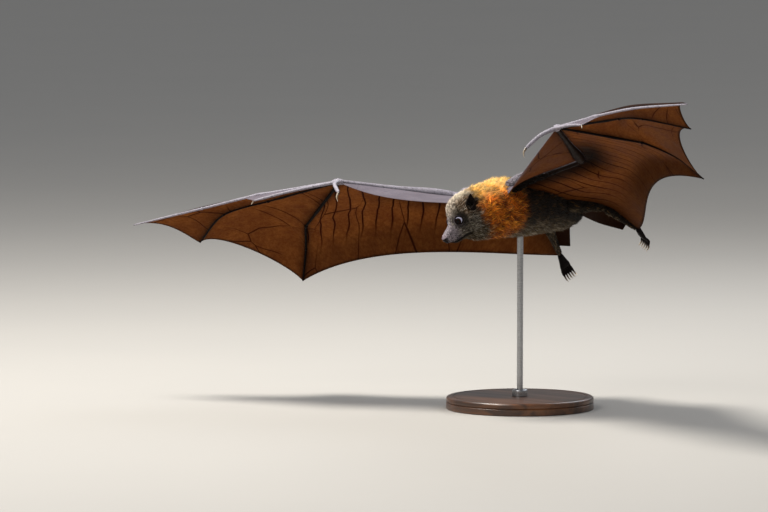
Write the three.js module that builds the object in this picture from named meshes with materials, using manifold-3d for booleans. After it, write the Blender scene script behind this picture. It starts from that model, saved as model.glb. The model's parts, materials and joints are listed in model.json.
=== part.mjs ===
// A grey-headed flying fox in level flight, wings spread, on a plain display stand.
// Millimetres, +Z up. The origin is the centre of the base's underside, the nose points to -Y and the
// left wing to +X. The animal is built level in its own frame, and one group banks it on the stand.
import * as THREE from "three";
import Module from "manifold-3d";

const wasm = await Module();
wasm.setup();

// ---- driving dimensions ----
const GAP = 0.3; // clearance between touching pieces
const MEMBRANE = 0.7; // thickness of the flying membranes
const FLIGHT = { bank: 12.85, pitch: 3.7, height: 262, ahead: -72 }; // degrees, and mm from the base
const BASE = { radius: 95, thickness: 16, edge: 3 };
const ROD = { radius: 4, top: 232, collarRadius: 10, collarHeight: 9 };

// Lengths of the bones, the same on both sides.
const LENGTH = {
  upperArm: 103, forearm: 160, thumb: 23, thumbTip: 24.4, thumbClaw: 13,
  second: 60, secondTip: 53, secondClaw: 6, third: 111.5, thirdNear: 84.5, thirdFar: 107.3,
  fourth: 113, fourthNear: 64, fourthFar: 70, fifth: 116, fifthNear: 48, fifthFar: 49,
  thigh: 55, shin: 52, foot: 36, calcar: 21,
};
// The pose, bone by bone: degrees swept back from straight out to the side, and degrees raised.
const POSE = {
  left: {
    upperArm: [35.8, 7.3], forearm: [-58.2, 15.2],
    thumb: [-122, -12.5], thumbTip: [-139, -29], thumbClaw: [-100, -62],
    second: [-32.1, -2], secondTip: [-36, -4.3], secondClaw: [-60, -40],
    third: [-24.5, 0.5], thirdNear: [-15.9, -1.4], thirdFar: [-12.5, -5.9],
    fourth: [-6.1, -3.6], fourthNear: [-24.5, -7.3], fourthFar: [7.1, -21.2],
    fifth: [17.3, -20.8], fifthNear: [53, -34.5], fifthFar: [-3, -43],
    thigh: [52.7, -17.8], shin: [48.4, -45.7], foot: [116, -34], calcar: [-158, 10.5],
  },
  right: {
    upperArm: [36, 2], forearm: [-59, 18],
    thumb: [-119, -7.5], thumbTip: [-139, -29], thumbClaw: [-100, -62],
    second: [-32.6, 1], secondTip: [-34.6, -2], secondClaw: [-60, -40],
    third: [-25, 3], thirdNear: [-13.9, -0.7], thirdFar: [-12, -0.5],
    fourth: [-8.6, -2], fourthNear: [-23.8, -4.4], fourthFar: [10.6, -23.3],
    fifth: [18.1, -23], fifthNear: [37.7, -36.5], fifthFar: [21.4, -54.4],
    thigh: [59, -27], shin: [62, -50], foot: [69, -54], calcar: [175, 25],
  },
};
const SHOULDER = [27, 18, 22];
const CHEST = [12, 27, 14]; // where the muscle of the upper arm begins, inside the trunk
const HIP = [22, 130, -12];
const FLANK = [26, 62, 12]; // where the wing leaves the back, between shoulder and hip
const TAIL_SHARE = 0.84; // how far down the leg the tail skin reaches
// Handles of the membranes' free edges, each a cubic curve between two ends.
const EDGE = {
  leading: { root: [34, 12, 11], handles: [[84, -23, 26.5], [130, -51, 39]] },
  trailing: { left: [[141, 158, -58], [226, 30, 18]], right: [[141, 158, -58], [227, 31, -4]] },
  tip: [[437, -118, 81], [425, -96, 46]],
  hand: [[389, -86, 53], [349, -4, -12]],
};

// Spine from the nose to the rump, the head turned to the animal's right.
const SPINE = [
  [-21, -66.5, -28.8], [-9.5, -37, -14.5], [1, -11, -3], [1.5, 18, -2],
  [0, 60, -6], [0, 110, -10], [0, 152, -17], [0, 186, -30],
];
// Sections along it, out to the tips of the coat: [mm from the nose, half width, height, depth].
const SECTIONS = [
  [0, 3.2, 2.4, 3.5], [2.5, 5.2, 4.4, 6], [7, 7.4, 6.2, 8.8], [15, 9.2, 9, 13.8], [22, 11.6, 13.2, 15.4],
  [27, 15.2, 21, 16.2], [32, 19, 30.5, 17.6], [38, 21.5, 34.5, 21], [45, 23.5, 36, 28], [54, 25.5, 36, 34.5],
  [64, 27, 34.5, 37.5],
  [76, 31, 34, 37.5], [92, 36, 35.5, 36.5], [115, 38.5, 38.5, 36], [150, 37.5, 33, 37], [180, 34, 28, 35.5],
  [205, 30, 23, 33.5], [230, 23, 17, 29.5], [250, 15, 11, 20], [262, 8, 6, 10], [267, 3, 3, 3],
];
const HEAD_END = 66; // mm from the nose at which the head, neck and trunk part
const NECK_END = 90;
const EYE = { radius: 6, along: 29.4, up: 9.4, out: 10.8 };
const EAR = {
  length: 21, width: 11.5, thickness: 1.6, cup: 3, // of the shell itself
  along: 53.3, up: 15.7, out: 20.5, lean: 0.6, back: 0.05, // its place and tilt on the head
};
const FOOT = { toes: 5, spread: 14, fan: 0.26, reach: 0.46, toeLength: 14.5, toeRadius: 1.8 };
const TOE_CLAW = { length: 10, radius: 1.5 };
const SOLE = { left: [-0.46, -0.78, -0.43], right: [0.75, -0.26, -0.6] }; // the way that each foot grasps

const COLOUR = {
  face: 0x77726a, mantle: 0xc06a1c, trunk: 0x3f3731, skin: 0x2b2422, arm: 0x8f8a92, membrane: 0x6b3f22,
  claw: 0xb9ab95, eye: 0x1c1513, base: 0x4a3120, rod: 0x9a9a9a,
};

// ---- helpers ----
const ORIGIN = new THREE.Vector3();
const UP = new THREE.Vector3(0, 0, 1);
const range = (count) => Array.from({ length: count }, (_, i) => i);
const mix = (a, b, share) => a.clone().lerp(b, share);
const vector = (place, sign = 1) => new THREE.Vector3(sign * place[0], place[1], place[2]);

// Value of a table's other columns at a place in its first one, eased through the rows.
function tableRow(table, at) {
  const last = table.length - 1;
  const next = table.findIndex((entry) => entry[0] > at);
  const start = next < 0 ? last - 1 : Math.max(0, next - 1);
  const rows = [-1, 0, 1, 2].map((step) => table[THREE.MathUtils.clamp(start + step, 0, last)]);
  const width = rows[2][0] - rows[1][0];
  const share = THREE.MathUtils.clamp((at - rows[1][0]) / width, 0, 1);
  const ease = share * share * (3 - 2 * share);
  return rows[1].slice(1).map((from, column) => {
    const value = (row) => rows[row][column + 1];
    const slopeIn = (value(2) - value(0)) / Math.max(1e-6, rows[2][0] - rows[0][0]) * width;
    const slopeOut = (value(3) - value(1)) / Math.max(1e-6, rows[3][0] - rows[1][0]) * width;
    const bend = slopeIn * share * (1 - share) ** 2 - slopeOut * share ** 2 * (1 - share);
    return from + (value(2) - from) * ease + bend;
  });
}

// A closed solid from corner points and triangles, whichever way round they were wound.
function solid(points, triangles) {
  const vertProperties = Float32Array.from(points.flatMap((point) => point.toArray()));
  const build = (corners) => {
    const triVerts = Uint32Array.from(corners.flat());
    return new wasm.Manifold(new wasm.Mesh({ numProp: 3, vertProperties, triVerts }));
  };
  const first = build(triangles);
  return first.volume() > 0 ? first : build(triangles.map(([a, b, c]) => [a, c, b]));
}

// A solid through closed rings of points, with flat ends.
function loft(rings) {
  const sides = rings[0].length;
  const middle = (ring) => ring.reduce((sum, point) => sum.add(point), ORIGIN.clone()).divideScalar(sides);
  const points = [...rings.flat(), middle(rings[0]), middle(rings.at(-1))];
  const lastRing = (rings.length - 1) * sides;
  const triangles = range(sides).flatMap((side) => {
    const next = (side + 1) % sides;
    const walls = range(rings.length - 1).flatMap((ring) => {
      const [a, b] = [ring * sides + side, ring * sides + next];
      return [[a, b, b + sides], [a, b + sides, a + sides]];
    });
    const caps = [[points.length - 2, next, side], [points.length - 1, lastRing + side, lastRing + next]];
    return [...walls, ...caps];
  });
  return solid(points, triangles);
}

// A sheet of even thickness on a surface point(u, w), with u and w from 0 to 1.
function sheet(point, columns, rows, thickness) {
  const step = 1e-3;
  const normal = (u, w) => {
    const [u0, w0] = [Math.min(u, 1 - step), Math.min(w, 1 - step)];
    const start = point(u0, w0);
    return point(u0 + step, w0).sub(start).cross(point(u0, w0 + step).sub(start)).normalize();
  };
  const cells = range(rows + 1).flatMap((row) => {
    return range(columns + 1).map((column) => [column / columns, row / rows]);
  });
  const faces = [0.5, -0.5].flatMap((side) => {
    return cells.map(([u, w]) => point(u, w).addScaledVector(normal(u, w), side * thickness));
  });
  const half = cells.length;
  const at = (column, row) => row * (columns + 1) + column;
  const quad = (a, b, c, d) => [[a, b, c], [a, c, d]];
  const skins = range(rows).flatMap((row) => range(columns).flatMap((column) => {
    const corners = [at(column, row), at(column + 1, row), at(column + 1, row + 1), at(column, row + 1)];
    // The underside is split along the same diagonals, so that the thickness stays even.
    const under = quad(...corners).map(([a, b, c]) => [c + half, b + half, a + half]);
    return [...quad(...corners), ...under];
  }));
  const rim = [
    ...range(columns).map((column) => at(column, 0)),
    ...range(rows).map((row) => at(columns, row)),
    ...range(columns).map((column) => at(columns - column, rows)),
    ...range(rows).map((row) => at(0, rows - row)),
  ];
  const walls = rim.flatMap((corner, i) => {
    const next = rim[(i + 1) % rim.length];
    return quad(next, corner, corner + half, next + half);
  });
  return solid(faces, [...skins, ...walls]);
}

// A round limb along a curve; radii lists [share of the length, radius across, radius through], and
// sideways is the direction that they call across, level unless it is given.
function limb(curve, radii, sides, steps, sideways) {
  const table = radii.map(([share, across, through = across]) => [share, across, through]);
  return (grow = 0) => loft(range(steps + 1).map((step) => {
    const share = step / steps;
    const along = curve.getTangentAt(share);
    const centre = curve.getPointAt(share).addScaledVector(along, (share * 2 - 1) * grow);
    const side = (sideways ?? UP.clone().cross(along)).clone().projectOnPlane(along).normalize();
    const over = along.clone().cross(side);
    const [across, through] = tableRow(table, share);
    return range(sides).map((corner) => {
      const turn = 2 * Math.PI * corner / sides;
      return centre.clone().addScaledVector(side, Math.cos(turn) * (across + grow))
        .addScaledVector(over, Math.sin(turn) * (through + grow));
    });
  }));
}

const path = (...points) => new THREE.CatmullRomCurve3(points, false, "centripetal");
const beyond = (from, to, extra) => to.clone().add(to.clone().sub(from).setLength(extra));
// A claw's curve, which starts just clear of the digit it grows from.
const clawPath = (start, bend, tip) => path(beyond(bend, start, -GAP - 0.05), bend, tip);

// Takes the neighbours and the gap off a piece, and keeps the largest part of what is left.
function carved(piece, neighbours) {
  const rest = neighbours.reduce((left, neighbour) => left.subtract(neighbour(GAP)), piece);
  return rest.decompose().reduce((best, part) => (part.volume() > best.volume() ? part : best));
}

function meshOf(name, manifold, color, roughness = 0.85, metalness = 0) {
  const { numProp, vertProperties, triVerts } = manifold.getMesh();
  const corners = Float32Array.from({ length: triVerts.length * 3 }, (_, i) => {
    return vertProperties[triVerts[Math.floor(i / 3)] * numProp + i % 3];
  });
  const geometry = new THREE.BufferGeometry();
  geometry.setAttribute("position", new THREE.BufferAttribute(corners, 3));
  geometry.computeVertexNormals();
  const mesh = new THREE.Mesh(geometry, new THREE.MeshStandardMaterial({ color, roughness, metalness }));
  mesh.name = name;
  return mesh;
}

// ---- head, neck and trunk: one form, parted by two thin cuts ----
const spine = path(...SPINE.map((place) => vector(place)));
const SPINE_LENGTH = SECTIONS.at(-1)[0];

function spineFrame(distance) {
  const share = distance / SPINE_LENGTH;
  const forward = spine.getTangentAt(share).negate();
  const left = forward.clone().cross(UP).negate().normalize();
  return { point: spine.getPointAt(share), forward, left, up: left.clone().cross(forward).negate() };
}

const BODY = { rings: 23, corners: 14 };
const body = (grow = 0) => loft(range(BODY.rings).map((ring) => {
  const share = ring / (BODY.rings - 1);
  const distance = SPINE_LENGTH * THREE.MathUtils.lerp(share, (1 - Math.cos(Math.PI * share)) / 2, 0.5);
  const { point, forward, left, up } = spineFrame(distance);
  const [halfWidth, above, below] = tableRow(SECTIONS, distance);
  point.addScaledVector(forward, (1 - 2 * share) * grow);
  return range(BODY.corners).map((corner) => {
    const turn = 2 * Math.PI * corner / BODY.corners;
    const height = Math.sin(turn) * ((Math.sin(turn) > 0 ? above : below) + grow);
    const breadth = Math.cos(turn) * (halfWidth + grow);
    return point.clone().addScaledVector(left, breadth).addScaledVector(up, height);
  });
}));

// All that lies ahead of a place on the spine (side 1), or behind it (side -1).
function halfSpace(distance, side, gap = 0) {
  const size = 340;
  const { point, forward, left, up } = spineFrame(distance);
  const centre = point.addScaledVector(forward, side * (size / 2 + gap));
  const corners = range(8).map((corner) => centre.clone()
    .addScaledVector(left, (corner & 1 ? 0.5 : -0.5) * size)
    .addScaledVector(up, (corner & 2 ? 0.5 : -0.5) * size)
    .addScaledVector(forward, (corner & 4 ? 0.5 : -0.5) * size));
  const quads = [[0, 2, 3, 1], [4, 5, 7, 6], [0, 1, 5, 4], [2, 6, 7, 3], [0, 4, 6, 2], [1, 3, 7, 5]];
  return solid(corners, quads.flatMap(([a, b, c, d]) => [[a, b, c], [a, c, d]]));
}

// A point of the head: mm along the spine, then up, and out to one side.
function headPoint({ along, up, out }, sign) {
  const frame = spineFrame(along);
  return frame.point.addScaledVector(frame.up, up).addScaledVector(frame.left, sign * out);
}

function ball(centre, radius, detail) {
  return (grow = 0) => loft(range(detail + 1).map((ring) => {
    const polar = Math.PI * (0.04 + 0.92 * ring / detail);
    return range(detail * 2 - 2).map((corner) => {
      const turn = Math.PI * corner / (detail - 1);
      return new THREE.Vector3().setFromSphericalCoords(radius + grow, polar, turn).add(centre);
    });
  }));
}

function earOf(sign) {
  const { forward, left, up } = spineFrame(EAR.along);
  const out = left.multiplyScalar(sign);
  const axis = up.clone().addScaledVector(out, EAR.lean).addScaledVector(forward, -EAR.back).normalize();
  const facing = forward.clone().addScaledVector(out, 0.45).normalize();
  const across = facing.clone().cross(axis).normalize();
  const base = headPoint(EAR, sign);
  return (u, w) => {
    const halfWidth = EAR.width / 2 * Math.sin(Math.PI * (0.3 + 0.68 * w)) ** 0.75;
    const side = 2 * u - 1;
    return base.clone().addScaledVector(axis, EAR.length * (w - 0.2))
      .addScaledVector(across, side * halfWidth)
      .addScaledVector(facing, EAR.cup * side * side * (1 - 0.7 * w));
  };
}

// ---- limbs ----
function jointsOf(side) {
  const sign = side === "left" ? 1 : -1;
  const joint = { shoulder: vector(SHOULDER, sign), hip: vector(HIP, sign) };
  const reach = (name, from, bone) => {
    const [sweep, rise] = POSE[side][bone].map(THREE.MathUtils.degToRad);
    const flat = Math.cos(rise) * LENGTH[bone];
    const out = sign * Math.cos(sweep) * flat;
    const step = new THREE.Vector3(out, Math.sin(sweep) * flat, Math.sin(rise) * LENGTH[bone]);
    joint[name] = joint[from].clone().add(step);
  };
  reach("elbow", "shoulder", "upperArm");
  reach("wrist", "elbow", "forearm");
  reach("thumbMiddle", "wrist", "thumb");
  reach("thumbEnd", "thumbMiddle", "thumbTip");
  reach("thumbClaw", "thumbEnd", "thumbClaw");
  reach("secondMiddle", "wrist", "second");
  reach("secondEnd", "secondMiddle", "secondTip");
  reach("secondClaw", "secondEnd", "secondClaw");
  for (const finger of ["third", "fourth", "fifth"]) {
    reach(`${finger}Knuckle`, "wrist", finger);
    reach(`${finger}Middle`, `${finger}Knuckle`, `${finger}Near`);
    reach(`${finger}End`, `${finger}Middle`, `${finger}Far`);
  }
  reach("knee", "hip", "thigh");
  reach("ankle", "knee", "shin");
  reach("toes", "ankle", "foot");
  reach("calcar", "ankle", "calcar");
  return joint;
}

// The fingers spring from the wrist side by side: mm ahead of its middle.
const ROOT_AHEAD = { second: 5, third: 1, fourth: -2, fifth: -4 };
const fingerRoot = (joint, finger) => joint.wrist.clone().add(new THREE.Vector3(0, -ROOT_AHEAD[finger], 0));
const secondCurve = (joint) => path(fingerRoot(joint, "second"), joint.secondMiddle, joint.secondEnd);

function fingerCurve(joint, finger) {
  const root = fingerRoot(joint, finger);
  const knuckle = joint[`${finger}Knuckle`];
  const [middle, end] = [joint[`${finger}Middle`], joint[`${finger}End`]];
  return path(root, mix(root, knuckle, 0.5), mix(root, knuckle, 0.93), knuckle, middle, end);
}

// Radii of the limbs: [share of the length, half width across, half width through if it differs].
const RADII = {
  hand: [[0, 3], [0.2, 4.4, 3.9], [0.7, 5, 3.8], [1, 3.4, 2.6]],
  upperArm: [[0, 9], [0.3, 9], [0.75, 6.6], [0.95, 6.4], [1, 4.5]],
  forearm: [[0, 5], [0.05, 6.4], [0.2, 7], [0.5, 4.2], [0.9, 3.3], [1, 3.4]],
  thumb: [[0, 3], [0.5, 2.5], [0.9, 2.3], [1, 1.5]],
  thumbClaw: [[0, 1.9], [0.5, 1.3], [1, 0.35]],
  second: [[0, 2.2], [0.5, 1.7], [0.9, 1.5], [1, 1]],
  secondClaw: [[0, 1.1], [0.5, 0.9], [1, 0.3]],
  finger: [[0, 2.2], [0.3, 1.9], [0.36, 2.3], [0.42, 1.7], [0.66, 1.5], [0.92, 1.1], [1, 0.75]],
  thigh: [[0, 12], [0.5, 9.5], [0.9, 6.4], [1, 4.4]],
  shin: [[0, 5], [0.15, 6.2], [0.5, 5], [0.9, 3.9], [1, 3.2]],
  palm: [[0, 3.6], [0.5, 5.6, 3.4], [0.9, 7.4, 2.8], [1, 6.6, 2]],
  toe: [[0, 1], [0.12, FOOT.toeRadius], [0.88, FOOT.toeRadius], [1, 1]],
  toeClaw: [[0, TOE_CLAW.radius], [0.5, TOE_CLAW.radius * 0.75], [1, 0.35]],
};

function limbsOf(joint) {
  const { shoulder, elbow, wrist, hip, knee, ankle } = joint;
  const carpus = path(beyond(elbow, wrist, -7), wrist, beyond(wrist, joint.thirdKnuckle, 9 - LENGTH.third));
  const chest = vector(CHEST, Math.sign(shoulder.x));
  const arm = path(chest, mix(shoulder, elbow, 0.22), mix(shoulder, elbow, 0.6), elbow);
  const thumb = path(wrist, joint.thumbMiddle, joint.thumbEnd);
  const clawBend = mix(joint.thumbEnd, joint.thumbClaw, 0.5).add(new THREE.Vector3(0, -2.6, 0.6));
  const secondBend = mix(joint.secondEnd, joint.secondClaw, 0.5);
  return {
    hand: limb(carpus, RADII.hand, 7, 4),
    upper_arm: limb(arm, RADII.upperArm, 8, 5),
    forearm: limb(path(elbow, mix(elbow, wrist, 0.5), wrist), RADII.forearm, 7, 6),
    thumb: limb(thumb, RADII.thumb, 6, 4),
    thumb_claw: limb(clawPath(joint.thumbEnd, clawBend, joint.thumbClaw), RADII.thumbClaw, 5, 3),
    finger_2: limb(secondCurve(joint), RADII.second, 5, 4),
    finger_2_claw: limb(clawPath(joint.secondEnd, secondBend, joint.secondClaw), RADII.secondClaw, 5, 2),
    finger_3: limb(fingerCurve(joint, "third"), RADII.finger, 5, 9),
    finger_4: limb(fingerCurve(joint, "fourth"), RADII.finger, 5, 8),
    finger_5: limb(fingerCurve(joint, "fifth"), RADII.finger, 5, 8),
    thigh: limb(path(hip, knee), RADII.thigh, 7, 3),
    shin: limb(path(knee, ankle), RADII.shin, 6, 3),
  };
}

// Foot of five toes, and the claws that hook from them towards the sole.
function footOf(joint, side) {
  const along = joint.toes.clone().sub(joint.ankle).normalize();
  const sole = vector(SOLE[side]).projectOnPlane(along).normalize();
  const across = along.clone().cross(sole);
  const root = mix(joint.ankle, joint.toes, FOOT.reach);
  const toes = range(FOOT.toes).map((toe) => {
    const place = toe / (FOOT.toes - 1) - 0.5;
    const heading = along.clone().addScaledVector(across, place * FOOT.fan).normalize();
    const start = root.clone().addScaledVector(across, place * FOOT.spread * 0.72);
    const towards = (ahead, down) => {
      return start.clone().addScaledVector(heading, ahead).addScaledVector(sole, down);
    };
    const bend = towards(FOOT.toeLength * 0.62, -1.6);
    const end = towards(FOOT.toeLength, 1.4);
    const hook = towards(FOOT.toeLength + TOE_CLAW.length * 0.38, 3.6);
    const tip = towards(FOOT.toeLength + TOE_CLAW.length * 0.5, 1.4 + TOE_CLAW.length * 0.75);
    return { curve: path(start, bend, end), claw: clawPath(end, hook, tip) };
  });
  const palmLine = path(joint.ankle, root, mix(joint.ankle, joint.toes, FOOT.reach + 0.08));
  const palm = limb(palmLine, RADII.palm, 6, 2, across);
  const foot = (grow = 0) => toes.reduce((made, { curve }) => {
    return made.add(limb(curve, RADII.toe, 4, 2, across)(grow));
  }, palm(grow));
  const claws = toes.map(({ claw }) => limb(claw, RADII.toeClaw, 4, 3, across));
  return { foot, claws };
}

// ---- membranes ----
// A surface stretched on four edges, bellied up by the air.
function stretched({ front, back, inner, outer }, belly) {
  return (u, w) => {
    const rails = mix(front(u), back(u), w).add(mix(inner(w), outer(w), u));
    const corners = mix(mix(front(0), front(1), u), mix(back(0), back(1), u), w);
    return rails.sub(corners).addScaledVector(UP, belly * 16 * u * (1 - u) * w * (1 - w));
  };
}

const cubic = (from, [first, second], to, sign) => {
  return new THREE.CubicBezierCurve3(from, vector(first, sign), vector(second, sign), to);
};
const along = (curve, from = 0, to = 1) => (share) => curve.getPointAt(from + (to - from) * share);
const straight = (from, to) => (share) => mix(from, to, share);

function membranesOf(joint, side) {
  const sign = side === "left" ? 1 : -1;
  const { shoulder, elbow, wrist } = joint;
  const arm = path(shoulder, mix(shoulder, elbow, 0.5), mix(shoulder, elbow, 0.95), mix(elbow, wrist, 0.05),
    mix(elbow, wrist, 0.5), wrist);
  const second = secondCurve(joint);
  const [third, fourth, fifth] = ["third", "fourth", "fifth"].map((finger) => fingerCurve(joint, finger));
  const flank = path(joint.shoulder, vector(FLANK, sign), joint.hip, joint.knee, joint.ankle);
  const leading = cubic(vector(EDGE.leading.root, sign), EDGE.leading.handles, joint.wrist, sign);
  const trailing = cubic(joint.ankle, EDGE.trailing[side], joint.fifthEnd, sign);
  const tip = cubic(joint.thirdEnd, EDGE.tip, joint.fourthEnd, sign);
  const rear = cubic(joint.fourthEnd, EDGE.hand, joint.fifthEnd, sign);
  const rump = new THREE.Vector3(sign * 3, 170, -26);
  const leg = path(joint.hip, joint.knee, joint.ankle);
  const tailEdge = path(rump, new THREE.Vector3(sign * 24, 186, -46), joint.calcar);
  const between = (front, back, outer, belly, start = 0.07) => stretched({
    front: along(front, start), back: along(back, start),
    inner: straight(front.getPointAt(start), back.getPointAt(start)), outer: along(outer),
  }, belly);
  const leadEnd = third.getPointAt(0.43);
  return {
    wing_front: {
      surface: stretched({
        front: along(leading, 0, 0.97), back: along(arm, 0, 0.97),
        inner: straight(leading.getPointAt(0), arm.getPointAt(0)),
        outer: straight(leading.getPointAt(0.97), arm.getPointAt(0.97)),
      }, 2),
      grid: [7, 3], beside: ["upper_arm", "forearm", "hand", "thumb"],
    },
    wing_lead: {
      surface: stretched({
        front: along(second, 0.1), back: along(third, 0.07, 0.43),
        inner: straight(second.getPointAt(0.1), third.getPointAt(0.07)),
        outer: straight(second.getPointAt(1), leadEnd),
      }, 0),
      grid: [5, 1], beside: ["hand", "finger_2", "finger_3"],
    },
    wing_tip: {
      surface: between(third, fourth, tip, 0.5), grid: [7, 3], beside: ["hand", "finger_3", "finger_4"],
    },
    wing_hand: {
      surface: between(fourth, fifth, rear, 3),
      grid: [8, 4], beside: ["hand", "finger_3", "finger_4", "finger_5"],
    },
    wing_arm: {
      surface: stretched({
        front: along(arm), back: along(trailing), inner: along(flank), outer: along(fifth),
      }, 7),
      grid: [11, 5],
      beside: ["upper_arm", "forearm", "hand", "finger_4", "finger_5", "thigh", "shin", "foot"],
    },
    tail_skin: {
      surface: stretched({
        front: along(leg, 0, TAIL_SHARE), back: along(tailEdge),
        inner: straight(joint.hip, rump), outer: straight(leg.getPointAt(TAIL_SHARE), joint.calcar),
      }, 0),
      grid: [4, 2], beside: ["thigh", "shin", "foot"],
    },
  };
}

// ---- the animal ----
const animal = new THREE.Group();
animal.rotation.set(THREE.MathUtils.degToRad(FLIGHT.pitch), -THREE.MathUtils.degToRad(FLIGHT.bank), 0);
animal.position.set(0, FLIGHT.ahead, FLIGHT.height);
animal.updateMatrix();

// The rod stands upright under the trunk; here it is turned into the animal's frame to cut its seat.
function rodInAnimal(grow = 0) {
  const toAnimal = animal.matrix.clone().invert();
  const radius = ROD.radius + grow;
  return loft([BASE.thickness, ROD.top + grow].map((height) => range(16).map((corner) => {
    const turn = Math.PI * corner / 8;
    const point = new THREE.Vector3(Math.cos(turn) * radius, Math.sin(turn) * radius, height);
    return point.applyMatrix4(toAnimal);
  })));
}

const sides = { left: 1, right: -1 };
const eyes = Object.values(sides).map((sign) => ball(headPoint(EYE, sign), EYE.radius, 5));
const headPiece = carved(body().intersect(halfSpace(HEAD_END, 1)), eyes);
const neckPiece = body().intersect(halfSpace(HEAD_END, -1, GAP)).intersect(halfSpace(NECK_END, 1));
const trunkPiece = carved(body().intersect(halfSpace(NECK_END, -1, GAP)), [rodInAnimal]);
animal.add(meshOf("head", headPiece, COLOUR.face));
animal.add(meshOf("neck", neckPiece, COLOUR.mantle));
animal.add(meshOf("trunk", trunkPiece, COLOUR.trunk));

Object.entries(sides).forEach(([side, sign], i) => {
  const joint = jointsOf(side);
  const limbs = limbsOf(joint);
  const { foot, claws } = footOf(joint, side);
  const all = { ...limbs, foot };
  const add = (name, piece, neighbours, colour, roughness) => {
    animal.add(meshOf(`${name}_${side}`, carved(piece, neighbours), colour, roughness));
  };
  add("eye", eyes[i](), [], COLOUR.eye, 0.08);
  add("ear", sheet(earOf(sign), 4, 4, EAR.thickness), [body], COLOUR.skin);
  add("upper_arm", limbs.upper_arm(), [body], COLOUR.arm);
  add("forearm", limbs.forearm(), [limbs.upper_arm, limbs.hand], COLOUR.arm);
  add("hand", limbs.hand(), [], COLOUR.arm);
  add("thumb", limbs.thumb(), [limbs.hand, limbs.forearm, limbs.finger_2], COLOUR.arm);
  add("thumb_claw", limbs.thumb_claw(), [limbs.thumb], COLOUR.claw, 0.4);
  add("finger_2", limbs.finger_2(), [limbs.hand, limbs.finger_3], COLOUR.arm);
  add("finger_2_claw", limbs.finger_2_claw(), [limbs.finger_2], COLOUR.claw, 0.4);
  add("finger_3", limbs.finger_3(), [limbs.hand], COLOUR.arm);
  add("finger_4", limbs.finger_4(), [limbs.hand, limbs.finger_3], COLOUR.arm);
  add("finger_5", limbs.finger_5(), [limbs.hand, limbs.forearm, limbs.finger_4], COLOUR.arm);
  add("thigh", limbs.thigh(), [body], COLOUR.trunk);
  add("shin", limbs.shin(), [limbs.thigh], COLOUR.skin);
  add("foot", foot(), [limbs.shin], COLOUR.skin);
  claws.forEach((claw, toe) => add(`toe_claw_${toe + 1}`, claw(), [], COLOUR.claw, 0.4));
  for (const [name, { surface, grid, beside }] of Object.entries(membranesOf(joint, side))) {
    const neighbours = [body, ...beside.map((neighbour) => all[neighbour])];
    add(name, sheet(surface, ...grid, MEMBRANE), neighbours, COLOUR.membrane, 0.6);
  }
});

// ---- the display stand ----
// A round solid about the upright axis, from its profile of [radius, height].
function turned(profile, corners) {
  return loft(profile.map(([radius, height]) => range(corners).map((corner) => {
    const turn = 2 * Math.PI * corner / corners;
    return new THREE.Vector3(Math.cos(turn) * radius, Math.sin(turn) * radius, height);
  })));
}

const { radius, thickness, edge } = BASE;
const baseProfile = [
  [radius - 1, 0], [radius, 1], [radius, thickness - edge], [radius - edge * 0.3, thickness - edge * 0.3],
  [radius - edge, thickness],
];
const collarProfile = [
  [ROD.collarRadius, thickness + GAP], [ROD.collarRadius, thickness + ROD.collarHeight - 2],
  [ROD.collarRadius - 2, thickness + ROD.collarHeight],
];
const rodProfile = [[ROD.radius, thickness + GAP], [ROD.radius, ROD.top]];
const rodHole = turned([[ROD.radius + GAP, 0], [ROD.radius + GAP, ROD.top]], 16);
const collar = turned(collarProfile, 16).subtract(rodHole);

const display = new THREE.Group();
display.add(animal);
display.add(meshOf("stand_base", turned(baseProfile, 32), COLOUR.base, 0.45));
display.add(meshOf("stand_collar", collar, COLOUR.rod, 0.3, 1));
display.add(meshOf("stand_rod", turned(rodProfile, 16), COLOUR.rod, 0.3, 1));

export default display;
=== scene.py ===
import json
from math import radians

import bpy
import numpy as np
from mathutils import Matrix, Vector
from mathutils.kdtree import KDTree

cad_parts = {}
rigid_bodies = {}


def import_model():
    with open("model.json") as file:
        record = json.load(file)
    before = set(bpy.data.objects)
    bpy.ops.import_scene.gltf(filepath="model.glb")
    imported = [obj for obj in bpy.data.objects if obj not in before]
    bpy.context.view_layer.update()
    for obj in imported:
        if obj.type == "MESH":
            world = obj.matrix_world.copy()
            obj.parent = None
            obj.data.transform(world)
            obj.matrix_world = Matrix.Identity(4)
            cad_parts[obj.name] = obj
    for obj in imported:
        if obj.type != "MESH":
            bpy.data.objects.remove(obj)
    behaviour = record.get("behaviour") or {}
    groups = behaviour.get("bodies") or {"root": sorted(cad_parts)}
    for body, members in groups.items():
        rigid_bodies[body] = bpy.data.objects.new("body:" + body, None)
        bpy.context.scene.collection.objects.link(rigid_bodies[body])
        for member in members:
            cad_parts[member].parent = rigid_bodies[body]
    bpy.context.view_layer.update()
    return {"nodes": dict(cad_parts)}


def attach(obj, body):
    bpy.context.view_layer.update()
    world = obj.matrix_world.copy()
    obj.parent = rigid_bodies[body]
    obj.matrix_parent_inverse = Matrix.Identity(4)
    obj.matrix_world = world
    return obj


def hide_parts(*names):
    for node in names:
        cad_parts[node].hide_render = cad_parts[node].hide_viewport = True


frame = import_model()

bl_info = {
    "name": "Flying fox bat",
    "version": (1, 0, 0),
    "blender": (4, 5, 0),
    "location": "3D View > Sidebar > Flying fox",
    "description": "A grey-headed flying fox, gliding over a display stand",
    "category": "Object",
}

BODY = "root"
MM = 0.001

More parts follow.
